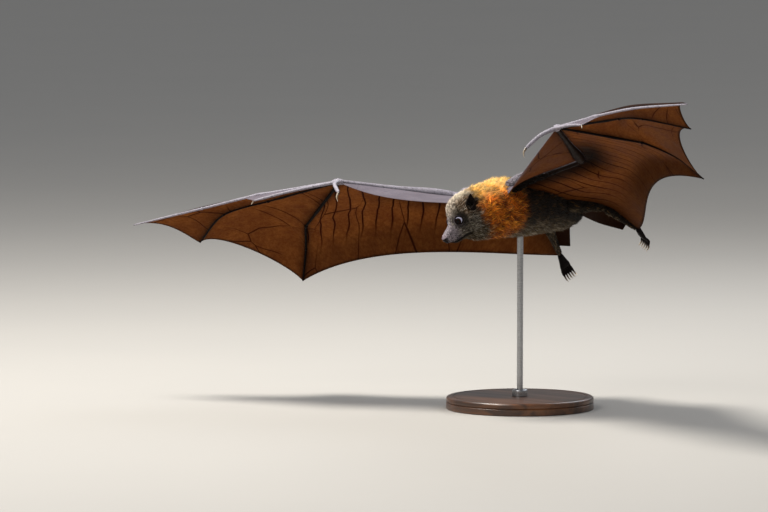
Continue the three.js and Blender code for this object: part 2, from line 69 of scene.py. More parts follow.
# ---- the animal's own measures, the same as the solids' ----
# Millimetres and degrees, x to its left, y backwards and z up, before it is banked on the stand.
FLIGHT = {"bank": 12.85, "pitch": 3.7, "height": 262, "ahead": -72}
LENGTH = {
    "upper_arm": 103, "forearm": 160, "thumb": 23, "thumb_tip": 24.4, "thumb_claw": 13,
    "second": 60, "second_tip": 53, "second_claw": 6,
    "third": 111.5, "third_near": 84.5, "third_far": 107.3,
    "fourth": 113, "fourth_near": 64, "fourth_far": 70,
    "fifth": 116, "fifth_near": 48, "fifth_far": 49,
    "thigh": 55, "shin": 52, "foot": 36, "calcar": 21,
}
# The pose, bone by bone: degrees swept back from straight out to the side, and degrees raised.
POSE = {
    "left": {
        "upper_arm": (35.8, 7.3), "forearm": (-58.2, 15.2),
        "thumb": (-122, -12.5), "thumb_tip": (-139, -29), "thumb_claw": (-100, -62),
        "second": (-32.1, -2), "second_tip": (-36, -4.3), "second_claw": (-60, -40),
        "third": (-24.5, 0.5), "third_near": (-15.9, -1.4), "third_far": (-12.5, -5.9),
        "fourth": (-6.1, -3.6), "fourth_near": (-24.5, -7.3), "fourth_far": (7.1, -21.2),
        "fifth": (17.3, -20.8), "fifth_near": (53, -34.5), "fifth_far": (-3, -43),
        "thigh": (52.7, -17.8), "shin": (48.4, -45.7), "foot": (116, -34), "calcar": (-158, 10.5),
    },
    "right": {
        "upper_arm": (36, 2), "forearm": (-59, 18),
        "thumb": (-119, -7.5), "thumb_tip": (-139, -29), "thumb_claw": (-100, -62),
        "second": (-32.6, 1), "second_tip": (-34.6, -2), "second_claw": (-60, -40),
        "third": (-25, 3), "third_near": (-13.9, -0.7), "third_far": (-12, -0.5),
        "fourth": (-8.6, -2), "fourth_near": (-23.8, -4.4), "fourth_far": (10.6, -23.3),
        "fifth": (18.1, -23), "fifth_near": (37.7, -36.5), "fifth_far": (21.4, -54.4),
        "thigh": (59, -27), "shin": (62, -50), "foot": (69, -54), "calcar": (175, 25),
    },
}
SIGN = {"left": 1, "right": -1}
SHOULDER = (27, 18, 22)
CHEST = (12, 27, 14)
HIP = (22, 130, -12)
FLANK = (26, 62, 12)
RUMP = (3, 170, -26)
TAIL_EDGE = (24, 186, -46)
TAIL_SHARE = 0.84  # how far down the leg the tail skin reaches
LEADING_ROOT = (34, 12, 11)
# Handles of the membranes' free edges, each a cubic curve between two ends.
EDGE = {
    "leading": ((84, -23, 26.5), (130, -51, 39)),
    "trailing_left": ((141, 158, -58), (226, 30, 18)),
    "trailing_right": ((141, 158, -58), (227, 31, -4)),
    "tip": ((437, -118, 81), (425, -96, 46)),
    "hand": ((389, -86, 53), (349, -4, -12)),
}
SPINE = (
    (-21, -66.5, -28.8), (-9.5, -37, -14.5), (1, -11, -3), (1.5, 18, -2),
    (0, 60, -6), (0, 110, -10), (0, 152, -17), (0, 186, -30),
)
# Sections along it, out to the tips of the coat: mm from the nose, half width, height, depth.
SECTIONS = (
    (0, 3.2, 2.4, 3.5), (2.5, 5.2, 4.4, 6), (7, 7.4, 6.2, 8.8), (15, 9.2, 9, 13.8),
    (22, 11.6, 13.2, 15.4), (27, 15.2, 21, 16.2), (32, 19, 30.5, 17.6), (38, 21.5, 34.5, 21),
    (45, 23.5, 36, 28), (54, 25.5, 36, 34.5), (64, 27, 34.5, 37.5), (76, 31, 34, 37.5),
    (92, 36, 35.5, 36.5), (115, 38.5, 38.5, 36), (150, 37.5, 33, 37), (180, 34, 28, 35.5),
    (205, 30, 23, 33.5), (230, 23, 17, 29.5), (250, 15, 11, 20), (262, 8, 6, 10), (267, 3, 3, 3),
)
SPINE_LENGTH = SECTIONS[-1][0]
# How deep the coat is along the spine: mm from the nose, mm down to the skin.
COAT_DEPTH = np.array((
    (0, 0.3), (8, 0.5), (20, 0.9), (30, 1.6), (42, 2.6), (54, 4), (64, 5.6), (76, 6.4), (100, 6.2),
    (120, 5.4), (150, 5), (205, 4.6), (245, 3.6), (262, 2), (267, 1),
))
# The limbs' fur is coloured as if it grew on the body: metres along the spine, and up from it.
LEG_PLACE = 0.21  # as the rump
LEG_FUR_UP = -0.015
# The arms' fur there is painted light where it faces up and painted shade where it faces down.
ARM_PLACE = 0.31  # past the body's end, with colours of its own
EYE = {"radius": 6, "along": 29.4, "up": 9.4, "out": 10.8}
EAR = {
    "length": 21, "width": 11.5, "thickness": 1,
    "along": 53.3, "up": 15.7, "out": 20.5, "lean": 0.6, "back": 0.05,
    "facing": 0.45, "sunk": 0.2, "ridge": 0.28, "ridges": 42,
}
EAR_WRAP = (168, 50)  # degrees that each half is wrapped round, at the foot and at the tip
FOOT = {"toes": 5, "spread": 14, "fan": 0.26, "reach": 0.46, "toe_length": 14.5}
# The way that each foot's sole faces.
SOLE = {"left": (-0.46, -0.78, -0.43), "right": (0.75, -0.26, -0.6)}
TOE_CLAW_LENGTH = 10
ROOT_AHEAD = {"second": 5, "third": 1, "fourth": -2, "fifth": -4}
# Radii of the limbs: share of the length, half width across, half width through.
RADII = {
    "hand": ((0, 3, 3), (0.2, 4.4, 3.9), (0.7, 5, 3.8), (1, 3.4, 2.6)),
    "upper_arm": ((0, 9, 9), (0.3, 9, 9), (0.75, 6.6, 6.6), (0.95, 6.4, 6.4), (1, 4.5, 4.5)),
    "forearm": (
        (0, 5, 5), (0.05, 6.4, 6.4), (0.2, 7, 7), (0.5, 4.2, 4.2), (0.9, 3.3, 3.3), (1, 3.4, 3.4),
    ),
    "thumb": ((0, 3, 3), (0.5, 2.5, 2.5), (0.9, 2.3, 2.3), (1, 1.5, 1.5)),
    "thumb_claw": ((0, 1.9, 1.9), (0.5, 1.3, 1.3), (1, 0.2, 0.2)),
    "second": ((0, 2.2, 2.2), (0.5, 1.7, 1.7), (0.9, 1.5, 1.5), (1, 1, 1)),
    "second_claw": ((0, 1.1, 1.1), (0.5, 0.9, 0.9), (1, 0.2, 0.2)),
    "finger": (
        (0, 2.2, 2.2), (0.3, 1.9, 1.9), (0.36, 2.3, 2.3), (0.42, 1.7, 1.7), (0.66, 1.5, 1.5),
        (0.92, 1.1, 1.1), (1, 0.75, 0.75),
    ),
    "thigh": ((0, 12, 12), (0.5, 9.5, 9.5), (0.9, 6.4, 6.4), (1, 4.4, 4.4)),
    "shin": ((0, 5, 5), (0.15, 6.2, 6.2), (0.5, 5, 5), (0.9, 3.9, 3.9), (1, 3.2, 3.2)),
    "palm": ((0, 3.6, 3.6), (0.5, 5.6, 3.4), (0.9, 7.4, 2.8), (1, 6.6, 2)),
    "toe": (
        (0, 1, 1), (0.12, 1.8, 1.8), (0.5, 1.7, 1.7), (0.62, 2, 2), (0.88, 1.7, 1.7), (1, 1.2, 1.2),
    ),
    "toe_claw": ((0, 1.5, 1.5), (0.5, 1.1, 1.1), (1, 0.2, 0.2)),
}
BASE = {"radius": 95, "thickness": 16, "edge": 3, "groove": 0.9}
ROD = {"radius": 4, "top": 232, "collar_radius": 10, "collar_height": 9}
GAP = 0.3

# ---- curves and tables ----
UP = np.array((0.0, 0.0, 1.0))
GOLDEN = 0.6180339887  # the golden ratio's part below one: turns this far apart stay evenly spread


def unit(vectors):
    return vectors / np.maximum(np.linalg.norm(vectors, axis=-1, keepdims=True), 1e-12)


def mix(a, b, share):
    return a + (b - a) * share


def place(point, sign=1):
    return np.array((sign * point[0], point[1], point[2]), float)


def eased(low, high, value):
    share = np.clip((value - low) / (high - low), 0, 1)
    return share * share * (3 - 2 * share)


def bell(value, width, power=2):
    return np.exp(-((value / width) ** power))


def columns_at(table, at):
    """A table's other columns, each on its own."""
    return np.moveaxis(table_at(table, at), -1, 0)


def round_turns(along, sides):
    """A grid of places along a form, each with its turns round it."""
    turns = np.linspace(0, 2 * np.pi, sides, endpoint=False)
    return np.meshgrid(along, turns, indexing="ij")


def search_tree(points):
    tree = KDTree(len(points))
    for index, point in enumerate(points):
        tree.insert(point, index)
    tree.balance()
    return tree


def table_at(table, at):
    """A table's other columns at places in its first one, eased through the rows."""
    rows = np.array(table, float)
    at = np.asarray(at, float)
    last = len(rows) - 1
    start = np.clip(np.searchsorted(rows[:, 0], at, side="right") - 1, 0, last - 1)
    a, b, c, d = (rows[np.clip(start + step, 0, last)] for step in (-1, 0, 1, 2))
    width = c[..., :1] - b[..., :1]
    share = np.clip((at[..., None] - b[..., :1]) / width, 0, 1)
    slope_in = (c - a) / np.maximum(1e-6, c[..., :1] - a[..., :1]) * width
    slope_out = (d - b) / np.maximum(1e-6, d[..., :1] - b[..., :1]) * width
    bend = slope_in * share * (1 - share) ** 2 - slope_out * share**2 * (1 - share)
    return (b + (c - b) * share**2 * (3 - 2 * share) + bend)[..., 1:]


class Curve:
    """A line through close samples, read by the share of its length."""

    def __init__(self, samples):
        self.samples = np.asarray(samples, float)
        steps = np.linalg.norm(np.diff(self.samples, axis=0), axis=1)
        self.lengths = np.r_[0, np.cumsum(steps)]
        self.length = self.lengths[-1]

    def at(self, share):
        where = np.asarray(share, float) * self.length
        return np.stack([np.interp(where, self.lengths, axis) for axis in self.samples.T], -1)

    def along(self, share):
        share = np.asarray(share, float)
        return unit(self.at(np.minimum(1, share + 0.004)) - self.at(np.maximum(0, share - 0.004)))


def centripetal(a, b, c, d):
    """Samples between the middle two of four points."""
    knots = np.cumsum([0] + [np.linalg.norm(q - p) ** 0.5 for p, q in ((a, b), (b, c), (c, d))])
    t = np.linspace(knots[1], knots[2], 48, endpoint=False)[:, None]

    def blend(p, q, i, j):
        return ((knots[j] - t) * p + (t - knots[i]) * q) / (knots[j] - knots[i])

    ab, bc, cd = blend(a, b, 0, 1), blend(b, c, 1, 2), blend(c, d, 2, 3)
    return blend(blend(ab, bc, 0, 2), blend(bc, cd, 1, 3), 1, 2)


def smooth(*points):
    """A centripetal curve through the points."""
    inner = np.array(points, float)
    line = np.vstack([2 * inner[0] - inner[1], inner, 2 * inner[-1] - inner[-2]])
    samples = [centripetal(*around) for around in zip(line, line[1:], line[2:], line[3:])]
    return Curve(np.vstack([*samples, inner[-1:]]))


def cubic(start, handles, end, sign):
    first, second = (place(handle, sign) for handle in handles)
    t = np.linspace(0, 1, 160)[:, None]
    a, b, c, d = (1 - t) ** 3, 3 * t * (1 - t) ** 2, 3 * t * t * (1 - t), t**3
    return Curve(a * start + b * first + c * second + d * end)


# ---- the animal's frame on the stand ----
PITCH = Matrix.Rotation(radians(FLIGHT["pitch"]), 3, "X")
TURN = np.array(PITCH @ Matrix.Rotation(-radians(FLIGHT["bank"]), 3, "Y"), float)
PLACE = np.array((0, FLIGHT["ahead"], FLIGHT["height"]), float)


def to_row(points):
    """Animal millimetres to metres on the stand."""
    return (points @ TURN.T + PLACE) * MM


def to_animal(points):
    return (np.asarray(points, float) - PLACE) @ TURN


# ---- head, neck and trunk ----
SPINE_CURVE = smooth(*SPINE)


def spine_frame(distance):
    share = np.asarray(distance, float) / SPINE_LENGTH
    forward = -SPINE_CURVE.along(share)
    left = unit(-np.cross(forward, UP))
    up = unit(-np.cross(left, forward))
    return SPINE_CURVE.at(share), forward, left, up


def head_point(spot, sign):
    point, _, left, up = spine_frame(spot["along"])
    return point + up * spot["up"] + left * sign * spot["out"]


def body_form(distance, turn, inset=0.0):
    """Points of the body's section rings, and the way out of the body there."""
    point, _, left, up = spine_frame(distance)
    half, above, below = columns_at(SECTIONS, distance)
    tall = np.where(np.sin(turn) > 0, above, below)
    half, tall = np.maximum(half - inset, 0.6), np.maximum(tall - inset, 0.6)
    across = left * np.cos(turn)[..., None]
    over = up * np.sin(turn)[..., None]
    out = unit(across * tall[..., None] + over * half[..., None])
    return point + across * half[..., None] + over * tall[..., None], out


EYE_AXIS = {}
EYE_CENTRE = {}
for side, sign in SIGN.items():
    _, ahead, left, up = spine_frame(EYE["along"])
    EYE_CENTRE[side] = head_point(EYE, sign)
    EYE_AXIS[side] = unit(left * sign * 0.88 + ahead * 0.42 + up * 0.2)


def eye_axes(side):
    """The ways towards the nose, up the face and out of the eye."""
    axis = EYE_AXIS[side]
    _, ahead, _, up = spine_frame(EYE["along"])
    long = unit(ahead - axis * (ahead @ axis))
    tall = np.cross(axis, long)
    return np.stack([long, tall * np.sign(tall @ up), axis])


# The mouth's line on one cheek: mm from the nose, degrees up from the middle of the side.
MOUTH = ((4.6, -90), (8, -80), (11, -72), (15, -62), (20, -54), (25, -49), (30, -46), (32, -45))
LIPS = {"from_line": 2.1, "width": 1.1, "height": 0.55, "groove": 0.9, "groove_depth": 1.25, "bare": 1.7}
NOSTRIL = {"along": 1.8, "turn": -6, "radius": 1.1, "depth": 1.7, "rim": 0.5, "rim_width": 0.6}
FURROW = {"width": 0.45, "depth": 0.7, "length": 5}
# Lids over the eyeball: mm over it, where they fade into the face, and where they are bare.
LID_SWELL = {"over": 0.9, "most": 3.2, "behind": -3.5, "fade": (5.6, 8.4), "bare": (5.0, 6.9)}
FACE_END = 70  # mm from the nose, past every feature of the face
# Swells and hollows round each eye: mm ahead, up and out from it, size, and height.
FACE_FORMS = (((1, 8.5, 1), 4.5, 0.9), ((8.5, -0.5, 0), 3.8, -0.8), ((-13, -15, 0), 8, 1.1))


def mouth_line():
    half = np.array(MOUTH, float)
    at = np.linspace(0, len(half) - 1, 90)
    distance, degrees = (np.interp(at, range(len(half)), column) for column in half.T)
    turn = np.radians(degrees)
    sides = [body_form(distance, angle, coat_depth(distance))[0] for angle in (turn, np.pi - turn)]
    return np.vstack(sides)


def coat_depth(distance):
    return np.interp(distance, *COAT_DEPTH.T)


def nearest_distance(points, targets):
    found = np.full(len(points), 1e9)
    for target in targets:
        found = np.minimum(found, ((points - target) ** 2).sum(1))
    return np.sqrt(found)


def nostril_centres():
    turn = np.radians((NOSTRIL["turn"], 180 - NOSTRIL["turn"]))
    distance = np.full(2, NOSTRIL["along"])
    return body_form(distance, turn, coat_depth(distance))[0]


def face_relief(distance, points, left):
    """How far the face's features raise its skin, and how creased and bare they leave it."""
    # The mouth: a fine groove between two full lips.
    gap = nearest_distance(points, mouth_line())
    raised = LIPS["height"] * bell(gap - LIPS["from_line"], LIPS["width"])
    raised -= LIPS["groove_depth"] * bell(gap, LIPS["groove"])
    # The creases are painted dark by the skin's material: partly bare dark skin, partly painted shade in the
    # mouth's groove.
    creased = 1.6 * bell(gap, LIPS["bare"])
    # The nostrils, with a raised rim round each, and the furrow between them.
    gap, radius = nearest_distance(points, nostril_centres()), NOSTRIL["radius"]
    raised += NOSTRIL["rim"] * bell(gap - radius - 0.8, NOSTRIL["rim_width"])
    raised -= NOSTRIL["depth"] * bell(gap, radius, 4)
    # The nostrils are painted dark in the same way: partly bare skin, partly painted shade in their openings.
    creased += bell(gap, radius * 1.05, 4)
    furrow = bell(left, FURROW["width"]) * np.clip(1 - distance / FURROW["length"], 0, 1)
    raised -= FURROW["depth"] * furrow
    creased += 0.6 * furrow
    _, ahead, across, up = spine_frame(EYE["along"])
    for side, sign in SIGN.items():
        axis, middle = EYE_AXIS[side], EYE_CENTRE[side]
        offset = points - middle
        depth = offset @ axis
        wide = np.linalg.norm(offset - depth[:, None] * axis, axis=1)
        outer = depth > LID_SWELL["behind"]
        shell = np.sqrt(np.maximum((EYE["radius"] + LID_SWELL["over"]) ** 2 - wide**2, 0))
        swell = np.maximum(shell - depth, 0) * (1 - eased(*LID_SWELL["fade"], wide)) * outer
        raised += np.minimum(swell, LID_SWELL["most"])
        creased += 0.85 * (1 - eased(*LID_SWELL["bare"], wide)) * outer
        for (fore, rise, out), size, height in FACE_FORMS:
            spot = middle + up * rise + ahead * fore + across * sign * out
            raised += height * bell(np.linalg.norm(points - spot, axis=1), size)
    return raised, creased


def skin_form(distance, turn):
    """The body's skin under the coat, sculpted: its points, the way out, and how creased it is."""
    distance, turn = (np.asarray(values, float) for values in (distance, turn))
    shape = distance.shape
    distance, turn = distance.ravel(), turn.ravel()
    points, out = body_form(distance, turn, coat_depth(distance))
    # Both ends are rounded over.
    centre, _, left, _ = spine_frame(distance)
    end = np.minimum(distance / 2.6, (SPINE_LENGTH - distance) / 12)
    points = centre + (points - centre) * np.sqrt(1 - 0.86 * (1 - np.clip(end, 0, 1)) ** 2)[:, None]
    lift, crease = np.zeros((2, len(points)))
    face = distance < FACE_END
    across = ((points - centre) * left).sum(1)
    lift[face], crease[face] = face_relief(distance[face], points[face], across[face])
    points = points + out * lift[:, None]
    return points.reshape(*shape, 3), out.reshape(*shape, 3), np.clip(crease, 0, 1).reshape(shape)


# ---- limbs ----
FINGERS = ("third", "fourth", "fifth")
# Each bone's far joint, its near joint and its name.
CHAIN = [
    ("elbow", "shoulder", "upper_arm"), ("wrist", "elbow", "forearm"),
    ("thumb_middle", "wrist", "thumb"), ("thumb_end", "thumb_middle", "thumb_tip"),
    ("thumb_claw", "thumb_end", "thumb_claw"),
    ("second_middle", "wrist", "second"), ("second_end", "second_middle", "second_tip"),
    ("second_claw", "second_end", "second_claw"),
    ("knee", "hip", "thigh"), ("ankle", "knee", "shin"), ("toes", "ankle", "foot"),
    ("calcar", "ankle", "calcar"),
]
for finger in FINGERS:
    CHAIN += [
        (f"{finger}_knuckle", "wrist", finger),
        (f"{finger}_middle", f"{finger}_knuckle", f"{finger}_near"),
        (f"{finger}_end", f"{finger}_middle", f"{finger}_far"),
    ]


def joints_of(side):
    """Where each joint and bone end is, from the bones' lengths and the pose."""
    sign = SIGN[side]
    joint = {"shoulder": place(SHOULDER, sign), "hip": place(HIP, sign)}
    for far, near, bone in CHAIN:
        sweep, rise = np.radians(POSE[side][bone])
        flat = np.cos(rise) * LENGTH[bone]
        step = (sign * np.cos(sweep) * flat, np.sin(sweep) * flat, np.sin(rise) * LENGTH[bone])
        joint[far] = joint[near] + np.array(step)
    return joint


def beyond(start, end, extra):
    """A point that is so much further on than the end."""
    return end + unit(end - start) * extra


def finger_root(joint, finger):
    return joint["wrist"] - np.array((0, ROOT_AHEAD[finger], 0))


def second_curve(joint):
    return smooth(finger_root(joint, "second"), joint["second_middle"], joint["second_end"])


def finger_curve(joint, finger):
    root, knuckle = finger_root(joint, finger), joint[f"{finger}_knuckle"]
    return smooth(
        root, mix(root, knuckle, 0.5), mix(root, knuckle, 0.93), knuckle,
        joint[f"{finger}_middle"], joint[f"{finger}_end"],
    )


def limb_curves(side):
    joint = joints_of(side)
    shoulder, elbow, wrist = joint["shoulder"], joint["elbow"], joint["wrist"]
    return {
        "hand": smooth(
            beyond(elbow, wrist, -7), wrist, beyond(wrist, joint["third_knuckle"], 9 - LENGTH["third"])
        ),
        "upper_arm": smooth(
            place(CHEST, SIGN[side]), mix(shoulder, elbow, 0.22), mix(shoulder, elbow, 0.6), elbow
        ),
        "forearm": smooth(elbow, mix(elbow, wrist, 0.5), wrist),
        "thumb": smooth(wrist, joint["thumb_middle"], joint["thumb_end"]),
        "second": second_curve(joint),
        **{finger: finger_curve(joint, finger) for finger in FINGERS},
        "thigh": smooth(joint["hip"], joint["knee"]),
        "shin": smooth(joint["knee"], joint["ankle"]),
    }


def limb_axes(curve, share, sideways=None):
    """The ways across and over a limb."""
    along = curve.along(share)
    side = np.cross(UP, along) if sideways is None else sideways - along * (along @ sideways)[..., None]
    side = unit(side)
    return side, np.cross(along, side)


def limb_form(curve, table, share, turn, grow=0.0, sideways=None):
    """Points on a round limb, and the way out of it there."""
    side, over = limb_axes(curve, share, sideways)
    across, through = columns_at(table, share)
    flat = side * np.cos(turn)[..., None]
    tall = over * np.sin(turn)[..., None]
    across, through = np.maximum(across + grow, 0.1), np.maximum(through + grow, 0.1)
    out = unit(flat * through[..., None] + tall * across[..., None])
    return curve.at(share) + flat * across[..., None] + tall * through[..., None], out


def foot_parts(side, joint):
    """The curves of the palm, the toes and the claws, which all hook towards the sole."""
    ankle, toes = joint["ankle"], joint["toes"]
    along = unit(toes - ankle)
    sole = np.array(SOLE[side])
    sole = unit(sole - along * (along @ sole))
    across = np.cross(along, sole)
    root = mix(ankle, toes, FOOT["reach"])
    toe_curves, claw_curves = [], []
    for toe in range(FOOT["toes"]):
        spot = toe / (FOOT["toes"] - 1) - 0.5
        heading = unit(along + across * spot * FOOT["fan"])
        start = root + across * spot * FOOT["spread"] * 0.72
        bend = start + heading * FOOT["toe_length"] * 0.62 - sole * 1.6
        end = start + heading * FOOT["toe_length"] + sole * 1.4
        hook = end + heading * TOE_CLAW_LENGTH * 0.38 + sole * 2.2
        tip = end + heading * TOE_CLAW_LENGTH * 0.5 + sole * TOE_CLAW_LENGTH * 0.75
        toe_curves.append(smooth(start, bend, end))
        claw_curves.append(smooth(beyond(hook, end, 0.8), hook, tip))
    return smooth(ankle, root, mix(ankle, toes, FOOT["reach"] + 0.08)), toe_curves, claw_curves, across


# ---- membranes ----
def stretched(front, back, inner, outer, belly):
    """A surface stretched on four edges, bellied up by the air."""

    def surface(u, w):
        u, w = u[..., None], w[..., None]
        rails = mix(front(u[..., 0]), back(u[..., 0]), w) + mix(inner(w[..., 0]), outer(w[..., 0]), u)
        zero, one = np.zeros(1), np.ones(1)
        corners = mix(mix(front(zero), front(one), u), mix(back(zero), back(one), u), w)
        return rails - corners + UP * belly * 16 * u * (1 - u) * w * (1 - w)

    return surface


def part_of(curve, start, end):
    """The edge that runs along part of a curve."""
    return lambda share: curve.at(start + (end - start) * share)


def straight(start, end):
    return lambda share: start + (end - start) * np.asarray(share)[..., None]


def between(front, back, belly, front_part=(0, 1), back_part=(0, 1), inner=None, outer=None):
    """A surface between parts of two curves, with straight ends where no other edge is given."""
    ends = [straight(front.at(a), back.at(b)) for a, b in zip(front_part, back_part)]
    return stretched(
        part_of(front, *front_part), part_of(back, *back_part), inner or ends[0], outer or ends[1], belly
    )


def membranes_of(side):
    """Each membrane's surface, the cells that it is made with, and whether its inner edge is in the body."""
    sign, joint = SIGN[side], joints_of(side)
    shoulder, elbow, wrist = joint["shoulder"], joint["elbow"], joint["wrist"]
    arm = smooth(
        shoulder, mix(shoulder, elbow, 0.5), mix(shoulder, elbow, 0.95), mix(elbow, wrist, 0.05),
        mix(elbow, wrist, 0.5), wrist,
    )
    second = second_curve(joint)
    third, fourth, fifth = (finger_curve(joint, finger) for finger in FINGERS)
    flank = smooth(shoulder, place(FLANK, sign), joint["hip"], joint["knee"], joint["ankle"])
    leading = cubic(place(LEADING_ROOT, sign), EDGE["leading"], wrist, sign)
    trailing = cubic(joint["ankle"], EDGE[f"trailing_{side}"], joint["fifth_end"], sign)
    tip = cubic(joint["third_end"], EDGE["tip"], joint["fourth_end"], sign)
    rear = cubic(joint["fourth_end"], EDGE["hand"], joint["fifth_end"], sign)
    tail = smooth(place(RUMP, sign), place(TAIL_EDGE, sign), joint["calcar"])
    leg = smooth(joint["hip"], joint["knee"], joint["ankle"])
    root = (0.05, 1)  # the skin between two fingers starts a little past the wrist
    return {
        "front": (between(leading, arm, 2, (0, 0.97), (0, 0.97)), (56, 14), True),
        "lead": (between(second, third, 0, (0.06, 1), (0.04, 0.43)), (40, 6), False),
        "tip": (between(third, fourth, 0.5, root, root, outer=tip.at), (56, 18), False),
        "hand": (between(fourth, fifth, 3, root, root, outer=rear.at), (48, 36), False),
        "arm": (between(arm, trailing, 7, inner=flank.at, outer=fifth.at), (84, 44), True),
        "tail": (between(leg, tail, 0, (0, TAIL_SHARE)), (26, 14), True),
    }


# ---- meshes ----
def ring_faces(count, sides, closed=False):
    """Triangles between round rings of points, and from the last ring to the first if closed."""
    near = np.arange(count * sides).reshape(count, sides)
    far = np.roll(near, -1, 0)
    if not closed:
        near, far = near[:-1], far[:-1]
    a, b, c, d = near, np.roll(near, -1, 1), np.roll(far, -1, 1), far
    return np.vstack([np.stack([corner.ravel() for corner in face], 1) for face in ((a, b, c), (a, c, d))])


def tube(rings):
    """A closed form through rings of points: its points and its faces."""
    count, sides = rings.shape[:2]
    points = np.vstack([rings.reshape(-1, 3), rings[0].mean(0), rings[-1].mean(0)])
    side = np.arange(sides)
    after, last = np.roll(side, -1), (count - 1) * sides
    front, back = np.full(sides, count * sides), np.full(sides, count * sides + 1)
    caps = [np.stack([front, after, side], 1), np.stack([back, last + side, last + after], 1)]
    return points, np.vstack([ring_faces(count, sides), *caps])


def turned_rings(profile, sides):
    """Rings round the upright axis, through a profile's radii and heights."""
    radius, turn = round_turns([r for r, _ in profile], sides)
    height = np.broadcast_to(np.array([z for _, z in profile])[:, None], radius.shape)
    return np.stack([np.cos(turn) * radius, np.sin(turn) * radius, height], -1)


def ring_values(values):
    """A tube's values, one for each of its points, from those of its rings."""
    flat = values.reshape(-1, *values.shape[2:])
    return np.concatenate([flat, values[:1].mean(1), values[-1:].mean(1)])


def sheet(grid, thickness):
    """A closed sheet on a grid of points, split alike on both of its faces."""
    normal = unit(np.cross(np.gradient(grid, axis=0), np.gradient(grid, axis=1)))
    half = normal * thickness[..., None] / 2
    columns, rows = grid.shape[:2]
    index = np.arange(columns * rows).reshape(columns, rows)
    a, b, c, d = (g.ravel() for g in (index[:-1, :-1], index[1:, :-1], index[1:, 1:], index[:-1, 1:]))
    top = np.vstack([np.stack([a, b, c], 1), np.stack([a, c, d], 1)])
    under = top[:, ::-1] + columns * rows
    rim = np.r_[index[:-1, 0], index[-1, :-1], index[:0:-1, -1], index[0, :0:-1]]
    after = np.roll(rim, -1)
    low = columns * rows
    wall = np.vstack([np.stack([after, rim, rim + low], 1), np.stack([after, rim + low, after + low], 1)])
    points = np.vstack([(grid + half).reshape(-1, 3), (grid - half).reshape(-1, 3)])
    return points, np.vstack([top, under, wall])


def outward(points, faces):
    """The same faces, wound so that the form's outside is out."""
    a, b, c = (points[faces[:, corner]] for corner in range(3))
    return faces if np.einsum("ij,ij->i", a, np.cross(b, c)).sum() > 0 else faces[:, ::-1]


def ball(centre, radii, axes=np.eye(3), rings=14, sides=24):
    polar, turn = round_turns(np.linspace(0.03, np.pi - 0.03, rings), sides)
    local = np.stack([np.sin(polar) * np.cos(turn), np.sin(polar) * np.sin(turn), np.cos(polar)], -1)
    return tube(centre + (local * radii) @ axes)


def new_mesh(name, points, faces):
    """A smooth mesh from points in metres and triangles."""
    mesh = bpy.data.meshes.new(name)
    mesh.vertices.add(len(points))
    mesh.vertices.foreach_set("co", np.asarray(points, np.float32).ravel())
    loops = np.asarray(faces, np.int32).ravel()
    mesh.loops.add(len(loops))
    mesh.loops.foreach_set("vertex_index", loops)
    mesh.polygons.add(len(faces))
    mesh.polygons.foreach_set("loop_start", np.arange(len(faces), dtype=np.int32) * 3)
    mesh.polygons.foreach_set("use_smooth", np.ones(len(faces), bool))
    mesh.update(calc_edges=True)
    return mesh


def give(mesh, name, values, domain="POINT"):
    """Puts a named value or vector on each point, or on each face corner from its point."""
    values = np.asarray(values, np.float32)
    if domain == "CORNER":
        corner = np.zeros(len(mesh.loops), np.int32)
        mesh.loops.foreach_get("vertex_index", corner)
        values = values[corner]
    vector = values.ndim == 2
    layer = mesh.attributes.new(name, "FLOAT_VECTOR" if vector else "FLOAT", domain)
    layer.data.foreach_set("vector" if vector else "value", values.ravel())


def new_piece(name, mesh, finishes, slot=None, replaces=()):
    """A finished piece of the model, which rides on the one body."""
    piece = bpy.data.objects.new(name, mesh)
    bpy.context.scene.collection.objects.link(piece)
    for material in finishes:
        mesh.materials.append(material)
    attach(piece, BODY)
    if replaces:
        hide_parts(*replaces)
    return piece


# ---- shader nodes ----
class Value:
    """A node's output; arithmetic on it adds the nodes for it."""

    def __init__(self, tree, socket):
        self.tree, self.socket = tree, socket

    def __add__(self, other):
        return self.tree.math("ADD", self, other)

    def __sub__(self, other):
        return self.tree.math("SUBTRACT", self, other)

    def __rsub__(self, other):
        return self.tree.math("SUBTRACT", other, self)

    def __mul__(self, other):
        return self.tree.math("MULTIPLY", self, other)

    def range(self, low, high, start=0.0, end=1.0, ease="SMOOTHSTEP"):
        """From start to end, while the value goes from low to high."""
        inputs = {0: self, 1: low, 2: high, 3: start, 4: end}
        return self.tree.add("ShaderNodeMapRange", inputs, interpolation_type=ease)

    def parts(self):
        node = self.tree.add("ShaderNodeSeparateXYZ", {0: self}).socket.node
        return [Value(self.tree, socket) for socket in node.outputs]

    def scaled(self, x, y, z):
        return self.tree.vector("MULTIPLY", self, (x, y, z))


def rgb(code):
    """A colour for a shader from its usual six digits."""
    parts = (int(code[i:i + 2], 16) / 255 for i in (0, 2, 4))
    return (*(p / 12.92 if p <= 0.04045 else ((p + 0.055) / 1.055) ** 2.4 for p in parts), 1.0)


